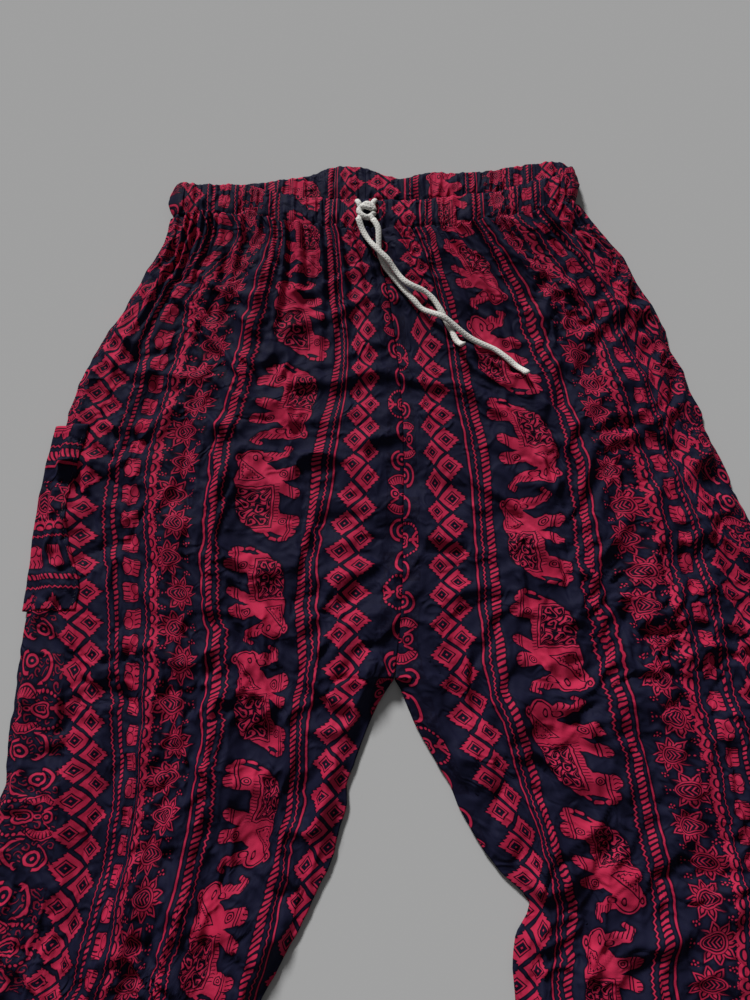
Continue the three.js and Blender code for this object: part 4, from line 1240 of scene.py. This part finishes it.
waistband(True, printed)
waistband(False, printed)
pocket(printed)
pocket_edge = np.array(pocket_edge)
cord_material = cotton()
drawstring_knot = knot(cord_material)
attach(drawstring_knot, "root")
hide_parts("drawstring_knot")
for word, points, flare in (("short", SHORT_END, 0.15), ("long", LONG_END, 0.25)):
    line = seated(points)
    made = cord_tube("cotton_drawstring_" + word, line, cord_material, flare=flare)
    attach(made, "root")
    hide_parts("drawstring_" + word)
    route = [place(*point) for point in line]


def thread_material():
    cloth = Cloth("thread")
    spot = cloth.wire("ShaderNodeTexCoord", output=3)
    twist = cloth.vector("DOT_PRODUCT", spot, (5200, 4100, 3000), output=1).sine()
    shade = cloth.colour(twist * 0.5 + 0.5, (0.004, 0.004, 0.011, 1), (0.014, 0.012, 0.03, 1))
    cloth.look("Base Color", shade)
    cloth.look("Roughness", 0.6)
    return cloth.material


def stitch_row_tree(material):
    """A group that sews a row of short stitches along the line it is given."""
    tree = bpy.data.node_groups.new("stitch row", "GeometryNodeTree")
    sockets = tree.interface
    sockets.new_socket("Line", in_out="INPUT", socket_type="NodeSocketGeometry")
    for name, kind, value in (
        ("Pitch", "NodeSocketFloat", 0.0027), ("Length", "NodeSocketFloat", 0.0019),
        ("Thickness", "NodeSocketFloat", 0.00045), ("Seed", "NodeSocketInt", 4),
    ):
        sockets.new_socket(name, in_out="INPUT", socket_type=kind).default_value = value
    sockets.new_socket("Stitches", in_out="OUTPUT", socket_type="NodeSocketGeometry")

    def add(kind, inputs, **settings):
        made = tree.nodes.new(kind)
        for key, value in settings.items():
            setattr(made, key, value)
        for key, value in inputs.items():
            if isinstance(value, bpy.types.NodeSocket):
                tree.links.new(value, made.inputs[key])
            else:
                made.inputs[key].default_value = value
        return made

    given = add("NodeGroupInput", {}).outputs
    curve = add("GeometryNodeMeshToCurve", {0: given["Line"]})
    steps = add(
        "GeometryNodeResampleCurve", {"Curve": curve.outputs[0], "Length": given["Pitch"]}, mode="LENGTH"
    )
    along = add("GeometryNodeInputTangent", {})
    turn = add("FunctionNodeAlignRotationToVector", {"Vector": along.outputs[0]}, axis="X")
    stitch = add("GeometryNodeMeshUVSphere", {"Segments": 6, "Rings": 4, "Radius": 0.5})
    uneven = add("FunctionNodeRandomValue", {2: 0.85, 3: 1.12, "Seed": given["Seed"]}, data_type="FLOAT")
    long = add("ShaderNodeMath", {0: given["Length"], 1: uneven.outputs[1]}, operation="MULTIPLY")
    thick = given["Thickness"]
    size = add("ShaderNodeCombineXYZ", {"X": long.outputs[0], "Y": thick, "Z": thick})
    placed = add("GeometryNodeInstanceOnPoints", {
        "Points": steps.outputs[0], "Instance": stitch.outputs[0],
        "Rotation": turn.outputs[0], "Scale": size.outputs[0],
    })
    real = add("GeometryNodeRealizeInstances", {0: placed.outputs[0]})
    paint = add("GeometryNodeSetMaterial", {0: real.outputs[0], "Material": material})
    add("NodeGroupOutput", {0: paint.outputs[0]})
    return tree


def sew(name, tree, rows, material, **settings):
    """Stitches along rows of points, as plain mesh."""
    points, edges = [], []
    for row in rows:
        edges += [(len(points) + i, len(points) + i + 1) for i in range(len(row) - 1)]
        points += [place(*point) for point in row]
    mesh = bpy.data.meshes.new(name)
    mesh.from_pydata(points, edges, [])
    made = add_object(name, mesh)
    modifier = made.modifiers.new("stitches", "NODES")
    modifier.node_group = tree
    for item in tree.interface.items_tree:
        if item.item_type == "SOCKET" and item.in_out == "INPUT" and item.name in settings:
            modifier[item.identifier] = settings[item.name]
    shown = made.evaluated_get(bpy.context.evaluated_depsgraph_get())
    finished = bpy.data.meshes.new_from_object(shown)
    made.modifiers.remove(modifier)
    made.data = finished
    if not finished.materials:
        finished.materials.append(material)
    finished.polygons.foreach_set("use_smooth", [True] * len(finished.polygons))
    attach(made, "root")
    return made


thread = thread_material()
stitches = stitch_row_tree(thread)


def casing_rows(is_front, shares):
    """Rows of places along the casing's shown face, at these shares of its height."""
    line_x = np.linspace(-163, 163, 420)
    foot, rim = band_edges(is_front, line_x)
    return [np.stack([line_x, foot + (rim - foot) * t, band_face(is_front, line_x, t)], -1) for t in shares]


def hem_row(leg):
    a = np.linspace(0.01, 0.99, 140)
    x, y, width = leg.plan(a, np.full(140, HEM_ROW + 0.01), "foot", FRONT_FOOT_GAP)
    return np.stack([x, y, front_height(leg, a, x, y, width) + HEM_RISE + 0.05], -1)


pocket_y = np.linspace(POCKET_TOP - 4, POCKET_FOOT + 2, 120)
pocket_x = np.interp(-pocket_y, -pocket_edge[:, 0], pocket_edge[:, 1]) - 2.2
edge_row = np.stack([pocket_x, pocket_y, pocket_top(pocket_x, pocket_y)], -1)
sewn = {
    "waistband_front": sew("casing_stitches_front", stitches, casing_rows(True, (0.09, 0.9)), thread),
    "waistband_back": sew("casing_stitches_back", stitches, casing_rows(False, (0.9,)), thread),
    "pocket_right": sew("pocket_stitches", stitches, [edge_row], thread, Seed=9),
    "front_right": sew("hem_stitches_right", stitches, [hem_row(RIGHT)], thread, Seed=5, Pitch=0.0032),
    "front_left": sew("hem_stitches_left", stitches, [hem_row(LEFT)], thread, Seed=6, Pitch=0.0032),
}

# The flat cut of what shows of each piece: width, length and area in metres
CUTS = (
    # node, width, length, area, how it is held, what it lies on
    ("front_right", 0.285, 0.965, 0.212, "laid", ("printed_back_right",)),
    ("front_left", 0.314, 0.98, 0.231, "laid", ("printed_back_left",)),
    ("back_right", 0.285, 0.965, 0.212, "laid", ()),
    ("back_left", 0.314, 0.98, 0.231, "laid", ()),
    ("waistband_front", 0.491, 0.031, None, "gathered", ()),
    ("waistband_back", 0.491, 0.031, None, "gathered", ()),
    ("pocket_right", 0.1, 0.142, None, "laid", ("printed_front_right", "printed_back_right")),
)
for node, wide, long, area, held, under in CUTS:
    [sewn[node]] if node in sewn else []

# Camera and light. The camera looks down at this pitch from this high over the plan's zero.
CAMERA_HEIGHT, CAMERA_PITCH, CAMERA_LENS = 562, 73.6, 28.0
SKY = 0.11
SUN_POWER, SUN_WIDTH, SUN_FROM = 3.85, 11, (-0.66, 1.55, 0.92)
FLOOR_GREY, FLOOR_HALF = 0.5, 6

camera = add_object("camera", bpy.data.cameras.new("camera"))
camera.data.sensor_width = 36
camera.data.lens = CAMERA_LENS
camera.location = place(0, 0, CAMERA_HEIGHT)
camera.rotation_euler = (math.radians(90 - CAMERA_PITCH), 0, 0)
bpy.context.scene.camera = camera


def plain_floor():
    cloth = Cloth("floor")
    cloth.look("Base Color", (FLOOR_GREY, FLOOR_GREY, FLOOR_GREY, 1))
    cloth.look("Roughness", 1.0)
    cloth.look("Specular IOR Level", 0.0)
    return cloth.material


floor = mesh_object(
    "floor",
    [(x * FLOOR_HALF, y * FLOOR_HALF, 0) for x, y in ((-1, -1), (1, -1), (1, 1), (-1, 1))],
    [(0, 1, 2, 3)],
    plain_floor(),
)
world = bpy.context.scene.world or bpy.data.worlds.new("world")
bpy.context.scene.world = world
world.use_nodes = True
world.node_tree.nodes["Background"].inputs[0].default_value = (1, 1, 1, 1)
world.node_tree.nodes["Background"].inputs[1].default_value = SKY
lamp = add_object("key", bpy.data.lights.new("key", "SUN"))
lamp.data.energy = SUN_POWER
lamp.data.angle = math.radians(SUN_WIDTH)
lamp.location = (-1.2, 0.9, 1.5)
lamp.rotation_euler = (-Vector(SUN_FROM)).to_track_quat("-Z", "Y").to_euler()
bpy.context.scene.view_settings.view_transform = "Standard"
